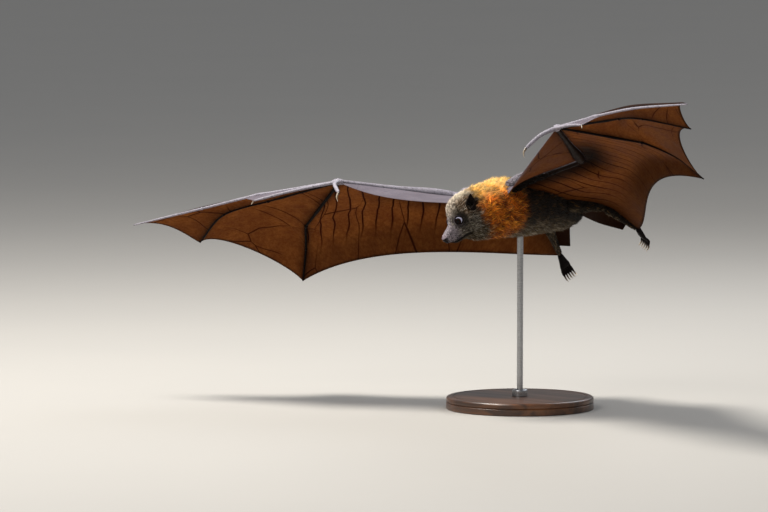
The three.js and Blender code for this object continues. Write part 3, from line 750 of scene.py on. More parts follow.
class Tree:
    """Adds nodes to a material or a node group; a colour can be given by its six digits."""

    def __init__(self, tree):
        self.tree = tree

    def feed(self, socket, value):
        """Links a value to a socket, or sets a constant on it."""
        if isinstance(value, Value):
            self.tree.links.new(value.socket, socket)
        elif value is not None:
            socket.default_value = rgb(value) if isinstance(value, str) else value

    def add(self, kind, inputs, output=0, **settings):
        """Adds a node and gives one of its outputs."""
        node = self.tree.nodes.new(kind)
        for name, value in settings.items():
            setattr(node, name, value)
        for name, value in inputs.items():
            self.feed(node.inputs[name], value)
        return Value(self, node.outputs[output])

    def group(self, name, **inputs):
        """Adds a node group and gives all its outputs by name."""
        node = self.tree.nodes.new("ShaderNodeGroup")
        node.node_tree = bpy.data.node_groups[name]
        for label, value in inputs.items():
            self.feed(node.inputs[label], value)
        return {socket.name: Value(self, socket) for socket in node.outputs}

    def math(self, operation, *values, clamp=False):
        inputs = dict(enumerate(values))
        return self.add("ShaderNodeMath", inputs, operation=operation, use_clamp=clamp)

    def most(self, *values):
        """The greatest of the values."""
        first, *others = values
        for other in others:
            first = self.math("MAXIMUM", first, other)
        return first

    def vector(self, operation, first, second):
        return self.add("ShaderNodeVectorMath", {0: first, 1: second}, operation=operation)

    def blend(self, share, low, high, kind="MIX"):
        """A colour between two others, nearer to the second as the share grows."""
        return self.add("ShaderNodeMix", {0: share, 6: low, 7: high}, 2, data_type="RGBA", blend_type=kind)

    def ramp(self, share, stops):
        ramp = self.add("ShaderNodeValToRGB", {0: share})
        line = ramp.socket.node.color_ramp.elements
        while len(line) < len(stops):
            line.new(0.5)
        for element, (where, code) in zip(line, stops):
            element.position, element.color = where, rgb(code)
        return ramp

    def attribute(self, name, output="Vector"):
        return self.add("ShaderNodeAttribute", {}, output, attribute_name=name)

    def object_place(self):
        return self.add("ShaderNodeTexCoord", {}, "Object")

    def noise(self, vector, scale, detail=2.0, rough=0.5, output="Fac", **more):
        inputs = {"Vector": vector, "Scale": scale, "Detail": detail, "Roughness": rough, **more}
        return self.add("ShaderNodeTexNoise", inputs, output)

    def cells(self, vector, scale, feature):
        inputs = {"Vector": vector, "Scale": scale}
        return self.add("ShaderNodeTexVoronoi", inputs, "Distance", feature=feature)

    def bump(self, height, strength, distance):
        return self.add("ShaderNodeBump", {"Height": height, "Strength": strength, "Distance": distance})


def new_group(name, inputs, outputs):
    """A node group: its tree, its inputs as values, and its output sockets by name."""
    group = bpy.data.node_groups.new(name, "ShaderNodeTree")
    for label, kind, default in inputs:
        socket = group.interface.new_socket(label, in_out="INPUT", socket_type=kind)
        if default is not None:
            socket.default_value = default
    for label, kind in outputs:
        group.interface.new_socket(label, in_out="OUTPUT", socket_type=kind)
    given, out = group.nodes.new("NodeGroupInput"), group.nodes.new("NodeGroupOutput")
    tree = Tree(group)
    return tree, [Value(tree, given.outputs[label]) for label, _, _ in inputs], out.inputs


def new_material(name, viewport):
    """A material with a Principled shader: its tree, that shader and its output node."""
    material = bpy.data.materials.new(name)
    material.use_nodes = True
    material.diffuse_color = rgb(viewport)
    nodes = material.node_tree.nodes
    return material, Tree(material.node_tree), nodes["Principled BSDF"], nodes["Material Output"]


def finish_shader(tree, shader, colour, roughness, normal=None, **constants):
    """Feeds a Principled shader; constants are named as its sockets, with _ for each space."""
    tree.feed(shader.inputs["Base Color"], colour)
    tree.feed(shader.inputs["Roughness"], roughness)
    tree.feed(shader.inputs["Normal"], normal)
    for name, value in constants.items():
        shader.inputs[name.replace("_", " ")].default_value = value


def distance_from(tree, axes, spot):
    """How far a place, given along x, y and z, is from a spot in mm."""
    parts = [axis - at * MM for axis, at in zip(axes, spot)]
    squares = [part * part for part in parts]
    return tree.math("SQRT", squares[0] + squares[1] + squares[2])


def make_coat_colours(coat):
    """The coat's markings, with its painted light and shade, from where the hair grows, how light its tuft
    is, and how far along it is.
    """
    tree, (spot, hair, along), out = new_group(
        "Coat colours",
        [
            ("Place", "NodeSocketVector", None), ("Tone", "NodeSocketFloat", 0.5),
            ("Along", "NodeSocketFloat", 0.5),
        ],
        [("Color", "NodeSocketColor"), ("Silver", "NodeSocketFloat")],
    )
    # The place is along the spine from the nose, to the side, and up from the spine.
    x, y, z = spot.parts()
    wide = tree.math("ABSOLUTE", y)
    back = x + (tree.noise(spot, 95.0, 3.0, 0.6) - 0.5) * 0.022
    fleck = tree.noise(spot, 420.0, 2.0, 0.6)
    # The collar starts further forward over the crown, and its edges wander.
    collar_in = (back - z.range(0.006, 0.03) * 0.006).range(0.047, 0.06)
    collar_out = back.range(0.099, 0.118)
    collar = collar_in * (1.0 - collar_out)
    # Face: dark fur with pale tips, ginger behind the brow, and black-brown round the eye and the ear.
    grey = tree.blend(hair.range(0.25, 0.85), "1e1710", tree.blend(fleck, "6a5f50", tuple(coat.face)))
    ginger = z.range(0.0, 0.014) * x.range(0.026, 0.046)
    grey = tree.blend(ginger * 0.72, grey, tree.blend(hair, "2c1b0e", "966a3a"))
    from_eye = distance_from(tree, (x, wide, z), (EYE["along"], EYE["out"] + 3, EYE["up"]))
    grey = tree.blend(from_eye.range(0.0125, 0.0075) * 0.85, grey, "120d0a")
    from_ear = distance_from(tree, (x, wide, z), (EAR["along"] - 2, EAR["out"], EAR["up"] + 3))
    ear = from_ear.range(0.0085, 0.0065)
    # Cream over the crown, down to a line that rises from the brow backwards: partly the fur's own paler
    # colour, partly painted light falling on the top of the head.
    brow = x.range(0.027, 0.035, 0.0, 0.011, "LINEAR")
    cream_and_light = (z - brow).range(0.0135, 0.0215) * hair.range(-0.3, 0.45)
    grey = tree.blend(cream_and_light * 0.92, grey, tree.blend(x.range(0.034, 0.05), "c9baa9", tuple(coat.crown)))
    # Muzzle: lilac-grey, darker at the lips, with a painted highlight along the bridge.
    muzzle = 1.0 - back.range(0.014, 0.029)
    lilac = tree.blend(tree.noise(spot, 700.0, 3.0, 0.6).range(0.38, 0.6), "1f191b", "b8abb1")
    lilac = tree.blend(z.range(-0.004, -0.011) * 0.55, lilac, "2a2226")
    # Painted highlight: a paler line along the top of the nose bridge, where the light catches it.
    bridge_highlight = z.range(0.003, 0.0065) * wide.range(0.0065, 0.0035)
    lilac = tree.blend(bridge_highlight * 0.7, lilac, "b3a9b0")
    face = tree.blend(muzzle, grey, lilac)
    chin = z.range(-0.0105, -0.0135)
    face = tree.blend(chin * 0.75, face, tree.blend(hair, "2c2213", "6e5b38"))
    # Collar: orange fur with some lighter tufts; painted light makes it pale gold on top, painted shade makes
    # it deeper orange below, and dark painted shade lies between the clumps, more of it lower down.
    clump_shade = tree.noise(spot, 230.0, 3.0, 0.7, Distortion=1.6).range(0.34, 0.48)
    # Painted light and shade: paler towards the top, pale gold over the top.
    orange = tree.blend(z.range(-0.026, 0.012), "cc680a", tuple(coat.collar))
    orange = tree.blend(z.range(0.006, 0.024) * 0.92, orange, "ffd880")
    orange = tree.blend(hair.range(0.5, 0.85) * 0.6, orange, "ffb43c")
    # Painted shade in the gaps between the clumps, stronger lower down.
    dark = (1.0 - clump_shade * hair.range(0.05, 0.4)) * z.range(0.026, 0.008, 0.06, 0.85)
    orange = tree.blend(dark, orange, "431704")
    # Trunk: brown-black with a few golden hairs, paler and browner below.
    belly = z.range(-0.014, -0.034) * hair.range(0.0, 0.7, 0.35, 1.0)
    trunk = tree.blend(tree.noise(spot, 160.0, 3.0), tuple(coat.trunk), "0f0a07")
    trunk = tree.blend(hair.range(0.78, 0.98) * 0.5, trunk, "7a5727")
    trunk = tree.blend(belly * 0.9, trunk, "84704f")
    # Arms: short fur, with painted light where it faces up and painted shade where it faces down.
    arm = tree.blend(z.range(-0.2, 0.5), "1a120d", "b5aeb6")
    trunk = tree.blend(x.range(ARM_PLACE - 0.016, ARM_PLACE - 0.01), trunk, arm)
    colour = tree.blend(collar_in, face, trunk)
    colour = tree.blend(collar, colour, orange)
    colour = tree.blend(ear * 0.95, colour, "0e0a08")
    # Each tuft is darker at its root; some are lighter and some darker than their neighbours.
    tone = along.range(0.0, 0.75, 0.3, 1.0) * (hair * 0.7 + 0.64)
    tone = tree.add("ShaderNodeCombineXYZ", dict.fromkeys(range(3), tone))
    colour = tree.blend(1.0, colour, tone, "MULTIPLY")
    # Silver tips are scattered over the cheeks and the belly.
    reach = tree.math("GREATER_THAN", hair, 0.8) * along.range(0.2, 0.7)
    cheek = (1.0 - collar_in) * tree.math("SUBTRACT", from_eye.range(0.009, 0.0125), ear, clamp=True)
    below = collar_out * (belly * x.range(0.29, 0.28)) * 0.6
    silver = reach * tree.math("ADD", cheek * back.range(0.02, 0.03, 0.25, 0.9), below, clamp=True)
    tree.feed(out["Color"], tree.blend(silver, colour, "c9bfae"))
    tree.feed(out["Silver"], silver)


def make_skin_grain():
    """The fine folds and pores of bare skin."""
    tree, (vector, scale), out = new_group(
        "Skin grain",
        [("Vector", "NodeSocketVector", None), ("Scale", "NodeSocketFloat", 900.0)],
        [("Height", "NodeSocketFloat"), ("Patches", "NodeSocketFloat")],
    )
    folds = tree.noise(vector, scale * 0.4, 4.0, 0.6)
    tree.feed(out["Height"], tree.cells(vector, scale, "F1") * 0.6 + folds)
    tree.feed(out["Patches"], tree.noise(vector, scale * 0.08, 3.0, 0.6))


def make_wing_web():
    """Muscle lines across a membrane, vessels and their fine network."""
    tree, (web, lines), out = new_group(
        "Wing web",
        [("Web", "NodeSocketVector", None), ("Lines", "NodeSocketFloat", 1.0)],
        [("Muscle", "NodeSocketFloat"), ("Vessel", "NodeSocketFloat"), ("Network", "NodeSocketFloat")],
    )
    wander = tree.noise(web, 20.0, 1.5, output="Color")
    wander = tree.vector("SUBTRACT", wander, (0.5, 0.5, 0.5))
    bent = tree.vector("ADD", web, wander.scaled(0.013, 0.026, 0.0))
    line = tree.math("SINE", bent.parts()[0] * 360.0).range(0.9, 0.99)
    fade = tree.noise(web, 22.0, 2.0).range(0.15, 0.35)
    tree.feed(out["Muscle"], line * fade * lines)
    vessel = tree.cells(bent.scaled(17.0, 8.0, 9.0), 1.0, "DISTANCE_TO_EDGE").range(0.014, 0.002)
    tree.feed(out["Vessel"], vessel * tree.noise(web, 13.0, 2.0).range(0.42, 0.56))
    network = tree.cells(bent.scaled(300.0, 210.0, 9.0), 1.0, "DISTANCE_TO_EDGE")
    tree.feed(out["Network"], network.range(0.1, 0.02))


def coat_material():
    material, tree, shader, _ = new_material("Coat", "7a5a3a")
    tone, along, _ = tree.attribute("tuft").parts()
    colours = tree.group("Coat colours", Place=tree.attribute("coat_place"), Tone=tone, Along=along)
    finish_shader(tree, shader, colours["Color"], colours["Silver"].range(0.0, 1.0, 0.62, 0.45),
                  Sheen_Weight=0.04, Sheen_Roughness=0.4, Specular_IOR_Level=0.15)
    return material


def coat_skin_material():
    """Under the coat: the same markings, dark between the tufts, bare at the nose, lips and lids, with
    painted shade in the mouth's groove and the nostrils and a painted highlight on top of the nose pad.
    """
    material, tree, shader, _ = new_material("Skin under the coat", "3a332e")
    spot = tree.attribute("coat_place")
    x, _, z = spot.parts()
    hair = tree.noise(spot.scaled(500.0, 2600.0, 2600.0), 1.0, 3.0, 0.6)
    colours = tree.group("Coat colours", Place=spot, Tone=hair, Along=0.42)
    grain = tree.group("Skin grain", Vector=spot, Scale=1500.0)
    # Creased skin is painted dark: partly bare dark skin, partly painted shade in the mouth's groove and the
    # nostrils.
    fold = tree.attribute("crease", "Fac").range(0.1, 0.6)
    bare = tree.most(1.0 - x.range(0.0034, 0.0056), fold)
    # Painted highlight: the top of the nose pad is paler, where the light catches it.
    pad_highlight = z.range(0.0, 0.0016) * (1.0 - fold)
    dark = tree.blend(pad_highlight, tree.blend(grain["Patches"], "070404", "120a0b"), "84777e")
    colour = tree.blend(bare, colours["Color"], dark)
    height = tree.blend(bare, hair, grain["Height"])
    finish_shader(tree, shader, colour, bare.range(0.0, 1.0, 0.75, 0.38), tree.bump(height, 0.6, 0.0004),
                  Specular_IOR_Level=0.08)
    return material


def bare_material(name, low, high, under, scale, rough):
    """Bare skin in patches of two colours, another colour where it faces down, and painted shade in the
    folds.
    """
    material, tree, shader, _ = new_material(name, "4a464c")
    grain = tree.group("Skin grain", Vector=tree.object_place(), Scale=scale)
    colour = tree.blend(grain["Patches"], low, high)
    # Where the skin faces down it takes the colour below; on the arm skin that is painted shade under its
    # pale top.
    colour = tree.blend(tree.attribute("over", "Fac").range(0.15, -0.35), colour, under)
    # Painted shade: darker in the hollows of the grain.
    colour = tree.blend(grain["Height"].range(0.9, 0.4, 0.0, 0.7), colour, "120d0c")
    finish_shader(tree, shader, colour, grain["Patches"].range(0.2, 0.8, rough + 0.1, rough - 0.08),
                  tree.bump(grain["Height"], 0.5, 0.0005), Specular_IOR_Level=0.05)
    return material


def membrane_material(name, skin, front):
    """Thin skin that light passes through; the front one has painted sky light on its top and painted shade
    below, with fewer lines.
    """
    material, tree, shader, output = new_material(name, "6b3f22")
    spot = tree.attribute("web")
    muscle, shade, top = tree.attribute("stretch").parts()
    hem, bone, inner = tree.attribute("rims").parts()
    web = tree.group("Wing web", Web=spot, Lines=muscle * (0.3 if front else 1.0))
    grain = tree.group("Skin grain", Vector=spot, Scale=520.0)
    patch = grain["Patches"].range(0.3, 0.7)
    vessels = tree.most(web["Muscle"] * 0.95, web["Vessel"] * 0.85)
    marks = tree.most(vessels, web["Network"] * 0.14)
    # The skin is thicker and darker beside the bones and by the body; behind the upper arm and elbow, and
    # over the tail skin, painted shade darkens it.
    dim = tree.most(bone * 0.8, shade, inner * 0.9)
    if front:
        # Front skin: its pale top is painted sky light, and its near-black colour below is painted shade.
        under, above = "1c0f09", tree.blend(patch * 0.5, tuple(skin.front), "5c5760")
        above = tree.blend(marks * 0.5, above, "5a5058")
    else:
        dim = tree.most(hem * 0.5, dim)
        under, above = tuple(skin.membrane), tree.blend(patch * 0.5, "2a201c", "1b1412")
        above = tree.blend(tree.most(marks, dim * 0.6), above, "0f0a09")
    below = tree.blend(patch * 0.4, under, "36190a")
    below = tree.blend(marks, below, "180703")
    below = tree.blend(dim * 0.93, below, "120906")
    # Painted highlight: a pale line along the front skin's free edge, seen from below.
    if front:
        below = tree.blend(hem, below, tuple(skin.front))
    colour = tree.blend(top.range(-0.6, 0.6), below, above)
    through = tree.blend(marks, tuple(skin.through), "421a0c")
    mottle = tree.noise(spot, 240.0, 4.0, 0.7).range(0.36, 0.64)
    through = tree.blend(patch * 0.3, through, "7a4a2e")
    through = tree.blend(mottle * 0.4, through, "87543a")
    through = tree.blend(dim * 0.97, through, "0c0503")
    normal = tree.bump(vessels * 0.8 + grain["Height"] * 0.35, 0.5, 0.0006)
    finish_shader(tree, shader, colour, patch.range(0.0, 1.0, 0.6, 0.46), normal, Specular_IOR_Level=0.03)
    glow = tree.add("ShaderNodeBsdfTranslucent", {"Color": through, "Normal": normal})
    share = skin.glow * (0.7 if front else 1.0)
    both = {0: share, 1: Value(tree, shader.outputs[0]), 2: glow}
    tree.feed(output.inputs["Surface"], tree.add("ShaderNodeMixShader", both))
    return material


def eye_material():
    """A black pupil in a dark brown iris, a bluish white above and behind it that is partly the white of the
    eye and partly a painted reflection of the sky, and a wet surface.
    """
    material, tree, shader, _ = new_material("Eye", "150c08")
    gaze = tree.attribute("gaze", "Fac")
    streak = tree.noise(tree.object_place(), 2600.0, 2.0)
    colour = tree.blend(gaze.range(0.2, 0.26), "020202", tree.blend(streak, "0c0604", "241108"))
    colour = tree.blend(gaze.range(0.42, 0.46), colour, "0a0607")
    # Painted reflection: a bluish-white crescent, partly the white of the eye and partly the sky reflected.
    colour = tree.blend(gaze.range(0.48, 0.52), colour, tree.blend(streak, "d2d0f2", "efedff"))
    finish_shader(tree, shader, colour, 0.08, Specular_IOR_Level=0.0, Coat_Weight=0.18, Coat_Roughness=0.02)
    return material


def claw_material():
    """Horn that pales towards the tip, with streaks along it."""
    material, tree, shader, _ = new_material("Claw horn", "b9ab95")
    spot = tree.attribute("claw")
    streak = tree.noise(spot.scaled(3.0, 26.0, 1.0), 1.0, 3.0, 0.6)
    stops = [(0.0, "2b211b"), (0.3, "6a5a4a"), (0.75, "b3a48c"), (1.0, "d8cdb8")]
    horn = tree.blend(streak.range(0.5, 0.75, 0.0, 0.45), tree.ramp(spot.parts()[0], stops), "4a3b30")
    finish_shader(tree, shader, horn, streak.range(0.3, 0.7, 0.26, 0.42), tree.bump(streak, 0.25, 0.0002))
    return material


def wood_material(stand):
    material, tree, shader, _ = new_material("Turned wood", "4a3120")
    spot = tree.object_place()
    grain = tree.noise(spot.scaled(5.0, 60.0, 60.0), 1.0, 5.0, 0.55, Distortion=0.8)
    pores = tree.noise(spot.scaled(90.0, 1400.0, 900.0), 1.0, 2.0)
    wood = tree.blend(grain.range(0.3, 0.72), "2c1a10", tuple(stand.wood))
    wood = tree.blend(pores.range(0.6, 0.75, 0.0, 0.5), wood, "1a0e08")
    finish_shader(tree, shader, wood, grain.range(0.2, 0.8, 0.4, 0.28), tree.bump(pores, 0.12, 0.0002),
                  Coat_Weight=0.25, Coat_Roughness=0.15)
    return material


def steel_material(stand):
    material, tree, shader, _ = new_material("Brushed steel", "9a9a9a")
    brush = tree.noise(tree.object_place().scaled(40.0, 40.0, 5200.0), 1.0, 3.0, 0.7)
    steel = tree.blend(brush, "8c8d90", tuple(stand.steel))
    finish_shader(tree, shader, steel, brush.range(0.2, 0.8, 0.22, 0.36), tree.bump(brush, 0.1, 0.0001),
                  Metallic=1.0)
    return material


def floor_material(colour):
    material, tree, shader, _ = new_material("Plain floor", "d6d2cb")
    cloud = tree.noise(tree.object_place(), 3.0, 3.0)
    finish_shader(tree, shader, tree.blend(cloud.range(0.2, 0.8, 0.0, 0.06), colour, "b9b4ab"), 0.85)
    return material


def make_materials(coat, skin, stand):
    """Every material of the model, by name."""
    make_coat_colours(coat)
    make_skin_grain()
    make_wing_web()
    return {
        "coat": coat_material(),
        "coat_skin": coat_skin_material(),
        "bare_skin": bare_material("Bare dark skin", "080505", tuple(skin.bare), "100b0a", 1100.0, 0.52),
        # The pale lilac of the arm and hand skin is a painted sheen of the sky over dark skin; the arm skin's
        # dark colour below is painted shade.
        "arm_skin": bare_material("Arm skin with painted sheen and shade", "6f6a74", tuple(skin.arm), "1c0f09", 900.0, 0.5),
        "hand_skin": bare_material("Hand skin with painted sheen", "8d8893", tuple(skin.arm), "8b858f", 900.0, 0.4),
        "finger_skin": bare_material("Dark finger skin", "0a0504", tuple(skin.finger), "0d0705", 1000.0, 0.5),
        "membrane": membrane_material("Wing membrane", skin, False),
        "membrane_front": membrane_material("Front wing skin", skin, True),
        "eye": eye_material(),
        "claw": claw_material(),
        "wood": wood_material(stand),
        "steel": steel_material(stand),
    }


# ---- settings that a user would change ----
def colour_property(name, description, code):
    return bpy.props.FloatVectorProperty(
        name=name, description=description, default=rgb(code), subtype="COLOR", size=4, min=0, max=1
    )


class FlyingFoxSkin(bpy.types.PropertyGroup):
    """Sizes and colours of the bare skin and the membranes."""

    web_thickness: bpy.props.FloatProperty(
        name="Membrane thickness", description="Thickness of the flying membranes", default=0.00038,
        min=0.0001, max=0.0007, unit="LENGTH", subtype="DISTANCE",
    )
    glow: bpy.props.FloatProperty(
        name="Light through", description="Share of the light that passes through the membranes",
        default=0.45, min=0, max=0.9, subtype="FACTOR",
    )
    membrane: colour_property("Membrane", "Colour of the membranes from below", "30190a")
    through: colour_property("Lit membrane", "Colour of the light through the membranes", "cd9f6e")
    # A pale lilac grey: painted sky light on the top of the skin ahead of the arm.
    front: colour_property("Front membrane", "Colour of the skin ahead of the arm from above", "76717a")
    # A pale lilac: a painted sheen of the sky over the dark skin of the arms and leading fingers.
    arm: colour_property("Arm skin", "Colour of the arms and leading fingers", "a29ea6")
    finger: colour_property("Finger skin", "Colour of the fingers in the membranes", "120a07")
    bare: colour_property("Bare skin", "Colour of the ears and feet", "191210")


class FlyingFoxCoat(bpy.types.PropertyGroup):
    """Amount, shape and colours of the fur."""

    amount: bpy.props.FloatProperty(
        name="Amount", description="Number of tufts against the full coat", default=1.0, min=0.05,
        max=1.2, subtype="FACTOR",
    )
    seed: bpy.props.IntProperty(name="Seed", description="Seed of the tufts' places", default=7, min=0)
    face: colour_property("Face", "Colour of the face's grey fur", "b3a793")
    # Near white: partly the crown's pale fur, partly painted light from above.
    crown: colour_property("Crown", "Colour of the fur over the head", "fff0d4")
    collar: colour_property("Collar", "Colour of the fur round the neck", "ff8612")
    trunk: colour_property("Trunk", "Colour of the back and flanks", "281d13")


class FlyingFoxStand(bpy.types.PropertyGroup):
    """The display stand's finishes."""

    wood: colour_property("Wood", "Light grain of the base", "6b4326")
    steel: colour_property("Steel", "Colour of the rod and its collar", "c9cacc")


class FlyingFoxStage(bpy.types.PropertyGroup):
    """The camera, the lights and the floor."""

    distance: bpy.props.FloatProperty(
        name="Camera distance", description="From the camera to the animal", default=8.0, min=1,
        max=30, unit="LENGTH", subtype="DISTANCE",
    )
    azimuth: bpy.props.FloatProperty(
        name="Azimuth", description="How far round the camera stands", default=radians(41),
        subtype="ANGLE", unit="ROTATION",
    )
    elevation: bpy.props.FloatProperty(
        name="Elevation", description="How far the camera looks down", default=radians(5),
        subtype="ANGLE", unit="ROTATION",
    )
    floor: colour_property("Floor", "Colour of the floor and the backdrop", "a3a09b")


SETTINGS = {
    "flying_fox_skin": FlyingFoxSkin,
    "flying_fox_coat": FlyingFoxCoat,
    "flying_fox_stand": FlyingFoxStand,
    "flying_fox_stage": FlyingFoxStage,
}
MATERIALS = {}


def materials(scene):
    """The model's materials, made the first time that a piece needs one."""
    if not MATERIALS:
        MATERIALS.update(make_materials(scene.flying_fox_coat, scene.flying_fox_skin, scene.flying_fox_stand))
    return MATERIALS


# ---- the skin ----
# Its materials in the order of the slots.
SKIN_SLOTS = ("coat_skin", "bare_skin", "arm_skin", "hand_skin", "finger_skin", "membrane", "membrane_front")
LIMB_SLOTS = {
    "hand": "hand_skin", "upper_arm": "arm_skin", "forearm": "arm_skin", "thumb": "hand_skin",
    "second": "hand_skin", "third": "hand_skin", "fourth": "finger_skin", "fifth": "finger_skin",
    "thigh": "coat_skin", "shin": "coat_skin",
}
LIMB_TABLE = {"third": "finger", "fourth": "finger", "fifth": "finger"}
LIMB_STEPS = {"hand": 10, "thumb": 24, "upper_arm": 30, "forearm": 44, "thigh": 18, "shin": 20}
FINGER_STEPS = 64
THICK_LIMBS = ("upper_arm", "forearm", "thigh", "shin")
# mm taken off a limb under its fur.
LIMB_INSET = {"upper_arm": 1.2, "thigh": 2.6, "shin": 1.2}
# Balls that round off the joints: mm of radius, and the material.
JOINT_BALLS = {
    "elbow": (5.9, "arm_skin"), "wrist": (4.4, "hand_skin"), "ankle": (3.0, "bare_skin"),
    "knee": (4.6, "coat_skin"), "third_knuckle": (2.5, "hand_skin"), "fourth_knuckle": (2.5, "finger_skin"),
    "fifth_knuckle": (2.5, "finger_skin"), "third_middle": (1.9, "hand_skin"),
    "fourth_middle": (1.8, "finger_skin"), "fifth_middle": (1.8, "finger_skin"),
    "thumb_middle": (2.7, "hand_skin"),
}
LIDS = {"spread": 54, "corners": 6, "above": 2, "off_eye": 0.22, "height": 0.62, "width": 0.9}
# The opening between the lids, as shares of the eye's radius, and the clearance round the eye in mm.
OPENING = {"radii": (0.8, 0.72, 0.72), "ahead": 0.66}
SOCKET_GAP = 0.1
SEAT_GAP = 0.25  # mm round the rod
WEBS = ("arm", "hand", "tip", "front", "lead", "tail")
WEB_FOLDS = {"arm": 46, "hand": 19}  # radians of shallow folds across the membrane


class Part:
    """One closed form of the skin, in the animal's millimetres, and what its material reads."""

    def __init__(self, name, points, faces, slot, **values):
        self.name, self.points, self.slot = name, points, slot
        self.faces = outward(points, faces)
        self.values = {
            "coat_place": np.zeros((len(points), 3)), "web": np.zeros((len(points), 3)),
            "rims": np.zeros((len(points), 3)), "stretch": np.zeros((len(points), 3)),
            "crease": np.zeros(len(points)), "over": np.ones(len(points)), **values,
        }

    def build(self, names):
        mesh = new_mesh(self.name, to_row(self.points), self.faces)
        for name, values in self.values.items():
            give(mesh, name, values, "CORNER")
        for name in SKIN_SLOTS:
            mesh.materials.append(names[name])
        slots = np.full(len(mesh.polygons), SKIN_SLOTS.index(self.slot), np.int32)
        mesh.polygons.foreach_set("material_index", slots)
        return bpy.data.objects.new(self.name, mesh)


def leg_place(share, up):
    """The place by which a leg's markings go, from its top down."""
    return np.stack([LEG_PLACE + share * 0.05, 0 * share, up + 0 * share], -1)


def body_place(distance, points):
    """The place by which the coat's markings go: along the spine, to the left, and up from it."""
    middle, _, left, up = spine_frame(distance)
    offset = points - middle
    return np.stack([distance, (offset * left).sum(-1), (offset * up).sum(-1)], -1) * MM


def body_part():
    """Head, neck and trunk, with the closest rings on the face."""
    head = np.r_[0.05, 0.3, 0.6, np.arange(1, 8, 0.42), np.arange(8, 46, 0.55), np.arange(46, 70, 1.0)]
    rings = np.r_[head, np.arange(70, 255, 3.2), np.arange(255, 266, 1.4), SPINE_LENGTH - 0.3]
    distance, turn = round_turns(rings, 168)
    points, _, crease = skin_form(distance, turn)
    places = ring_values(body_place(distance, points))
    return Part("body", *tube(points), "coat_skin", coat_place=places, crease=ring_values(crease))


def ear_part(side):
    """A deep funnel, closed all round at its foot and open above."""
    sign = SIGN[side]
    _, ahead, left, up = spine_frame(EAR["along"])
    out = left * sign
    axis = unit(up + out * EAR["lean"] - ahead * EAR["back"])
    facing = unit(ahead + out * EAR["facing"])
    across = unit(np.cross(facing, axis))
    base = head_point(EAR, sign)
    w = np.linspace(0, 1, 26)[None, :]
    s = np.linspace(-1, 1, 37)[:, None]
    half = EAR["width"] / 2 * np.sin(np.pi * (0.3 + 0.68 * w)) ** 0.75
    wrap = np.radians(mix(*EAR_WRAP, eased(0.05, 0.75, w)))
    radius = half / np.sin(np.minimum(wrap, np.pi / 2))
    sweep = s * wrap
    cross = np.sin(sweep) * radius
    depth = radius * (1 - np.cos(sweep)) * (1 - 0.35 * w)
    # Low ridges run across the inside, and the rim rolls back.
    depth = depth + EAR["ridge"] * np.sin(w * EAR["ridges"]) * (1 - s**2) * eased(0.1, 0.3, w)
    height = EAR["length"] * (w - EAR["sunk"]) * (1 - 0.06 * s**2)
    grid = base + axis * height[..., None] + across * cross[..., None] + facing * (depth - 1.2)[..., None]
    rim = EAR["thickness"] * (1.15 - 0.45 * w) * (1 + 0.35 * np.abs(s) ** 8)
    points, faces = sheet(grid, rim)
    return Part(f"ear_{side}", points, faces, "bare_skin")


def lid_part(side):
    """The rims of both lids, round the eyeball, longer than they are tall."""
    long, tall, axis = eye_axes(side)
    turn = np.linspace(0, 2 * np.pi, 64, endpoint=False)
    # Degrees from the way the eye looks: out to each corner, and above and below.
    spread = LIDS["spread"] + LIDS["corners"] * np.abs(np.cos(turn)) ** 3 + LIDS["above"] * np.sin(turn)
    spread = np.radians(spread)[:, None]
    about = long * np.cos(turn)[:, None] + tall * np.sin(turn)[:, None]
    out = axis * np.cos(spread) + about * np.sin(spread)
    down = about * np.cos(spread) - axis * np.sin(spread)
    path = EYE_CENTRE[side] + out * (EYE["radius"] + LIDS["off_eye"])
    corner = np.linspace(0, 2 * np.pi, 12, endpoint=False)[None, :, None]
    rim = out[:, None] * np.cos(corner) * LIDS["height"] + down[:, None] * np.sin(corner) * LIDS["width"]
    rings = path[:, None] + rim
    points = rings.reshape(-1, 3)
    places = body_place(np.full(len(points), float(EYE["along"])), points)
    return Part(f"lids_{side}", points, ring_faces(*rings.shape[:2], closed=True), "coat_skin",
                crease=np.full(len(points), 0.9), coat_place=places)


def limb_part(side, name, curve):
    share = np.linspace(0, 1, LIMB_STEPS.get(name, FINGER_STEPS) + 1)
    share, turn = round_turns(share, 20 if name in THICK_LIMBS else 12)
    table = RADII[LIMB_TABLE.get(name, name)]
    points, out = limb_form(curve, table, share, turn, -LIMB_INSET.get(name, 0))
    return Part(f"{name}_{side}", *tube(points), LIMB_SLOTS[name], over=ring_values(out[..., 2]),
                coat_place=ring_values(leg_place(share, LEG_FUR_UP)))


def foot_and_joint_parts(side):
    joint = joints_of(side)
    palm, toes, _, across = foot_parts(side, joint)
    rows = [("palm", palm, "palm", 12)] + [(f"toe_{i}", toe, "toe", 18) for i, toe in enumerate(toes, 1)]
    for name, curve, table, steps in rows:
        share, turn = round_turns(np.linspace(0, 1, steps + 1), 12)
        points, _ = limb_form(curve, RADII[table], share, turn, sideways=across)
        yield Part(f"{name}_{side}", *tube(points), "bare_skin")
    for name, (radius, slot) in JOINT_BALLS.items():
        points, faces = ball(joint[name], (radius,) * 3)
        places = np.tile((LEG_PLACE + 0.02, 0, LEG_FUR_UP), (len(points), 1))  # partway down a leg
        over = (points - joint[name])[:, 2] / radius
        yield Part(f"{name}_{side}", points, faces, slot, coat_place=places, over=over)


def folded(grid, u, w, waves):
    """The grid with shallow folds that run from the arm to the free edge, deepest halfway."""
    normal = unit(np.cross(np.gradient(grid, axis=0), np.gradient(grid, axis=1)))
    fold = np.sin(u * waves + 1.6 * np.sin(w * 5 + u * 9)) * np.sin(np.pi * u) ** 0.5
    return grid + normal * (fold * 0.55 * np.sin(np.pi * np.clip(w, 0, 1)) ** 0.7)[..., None]


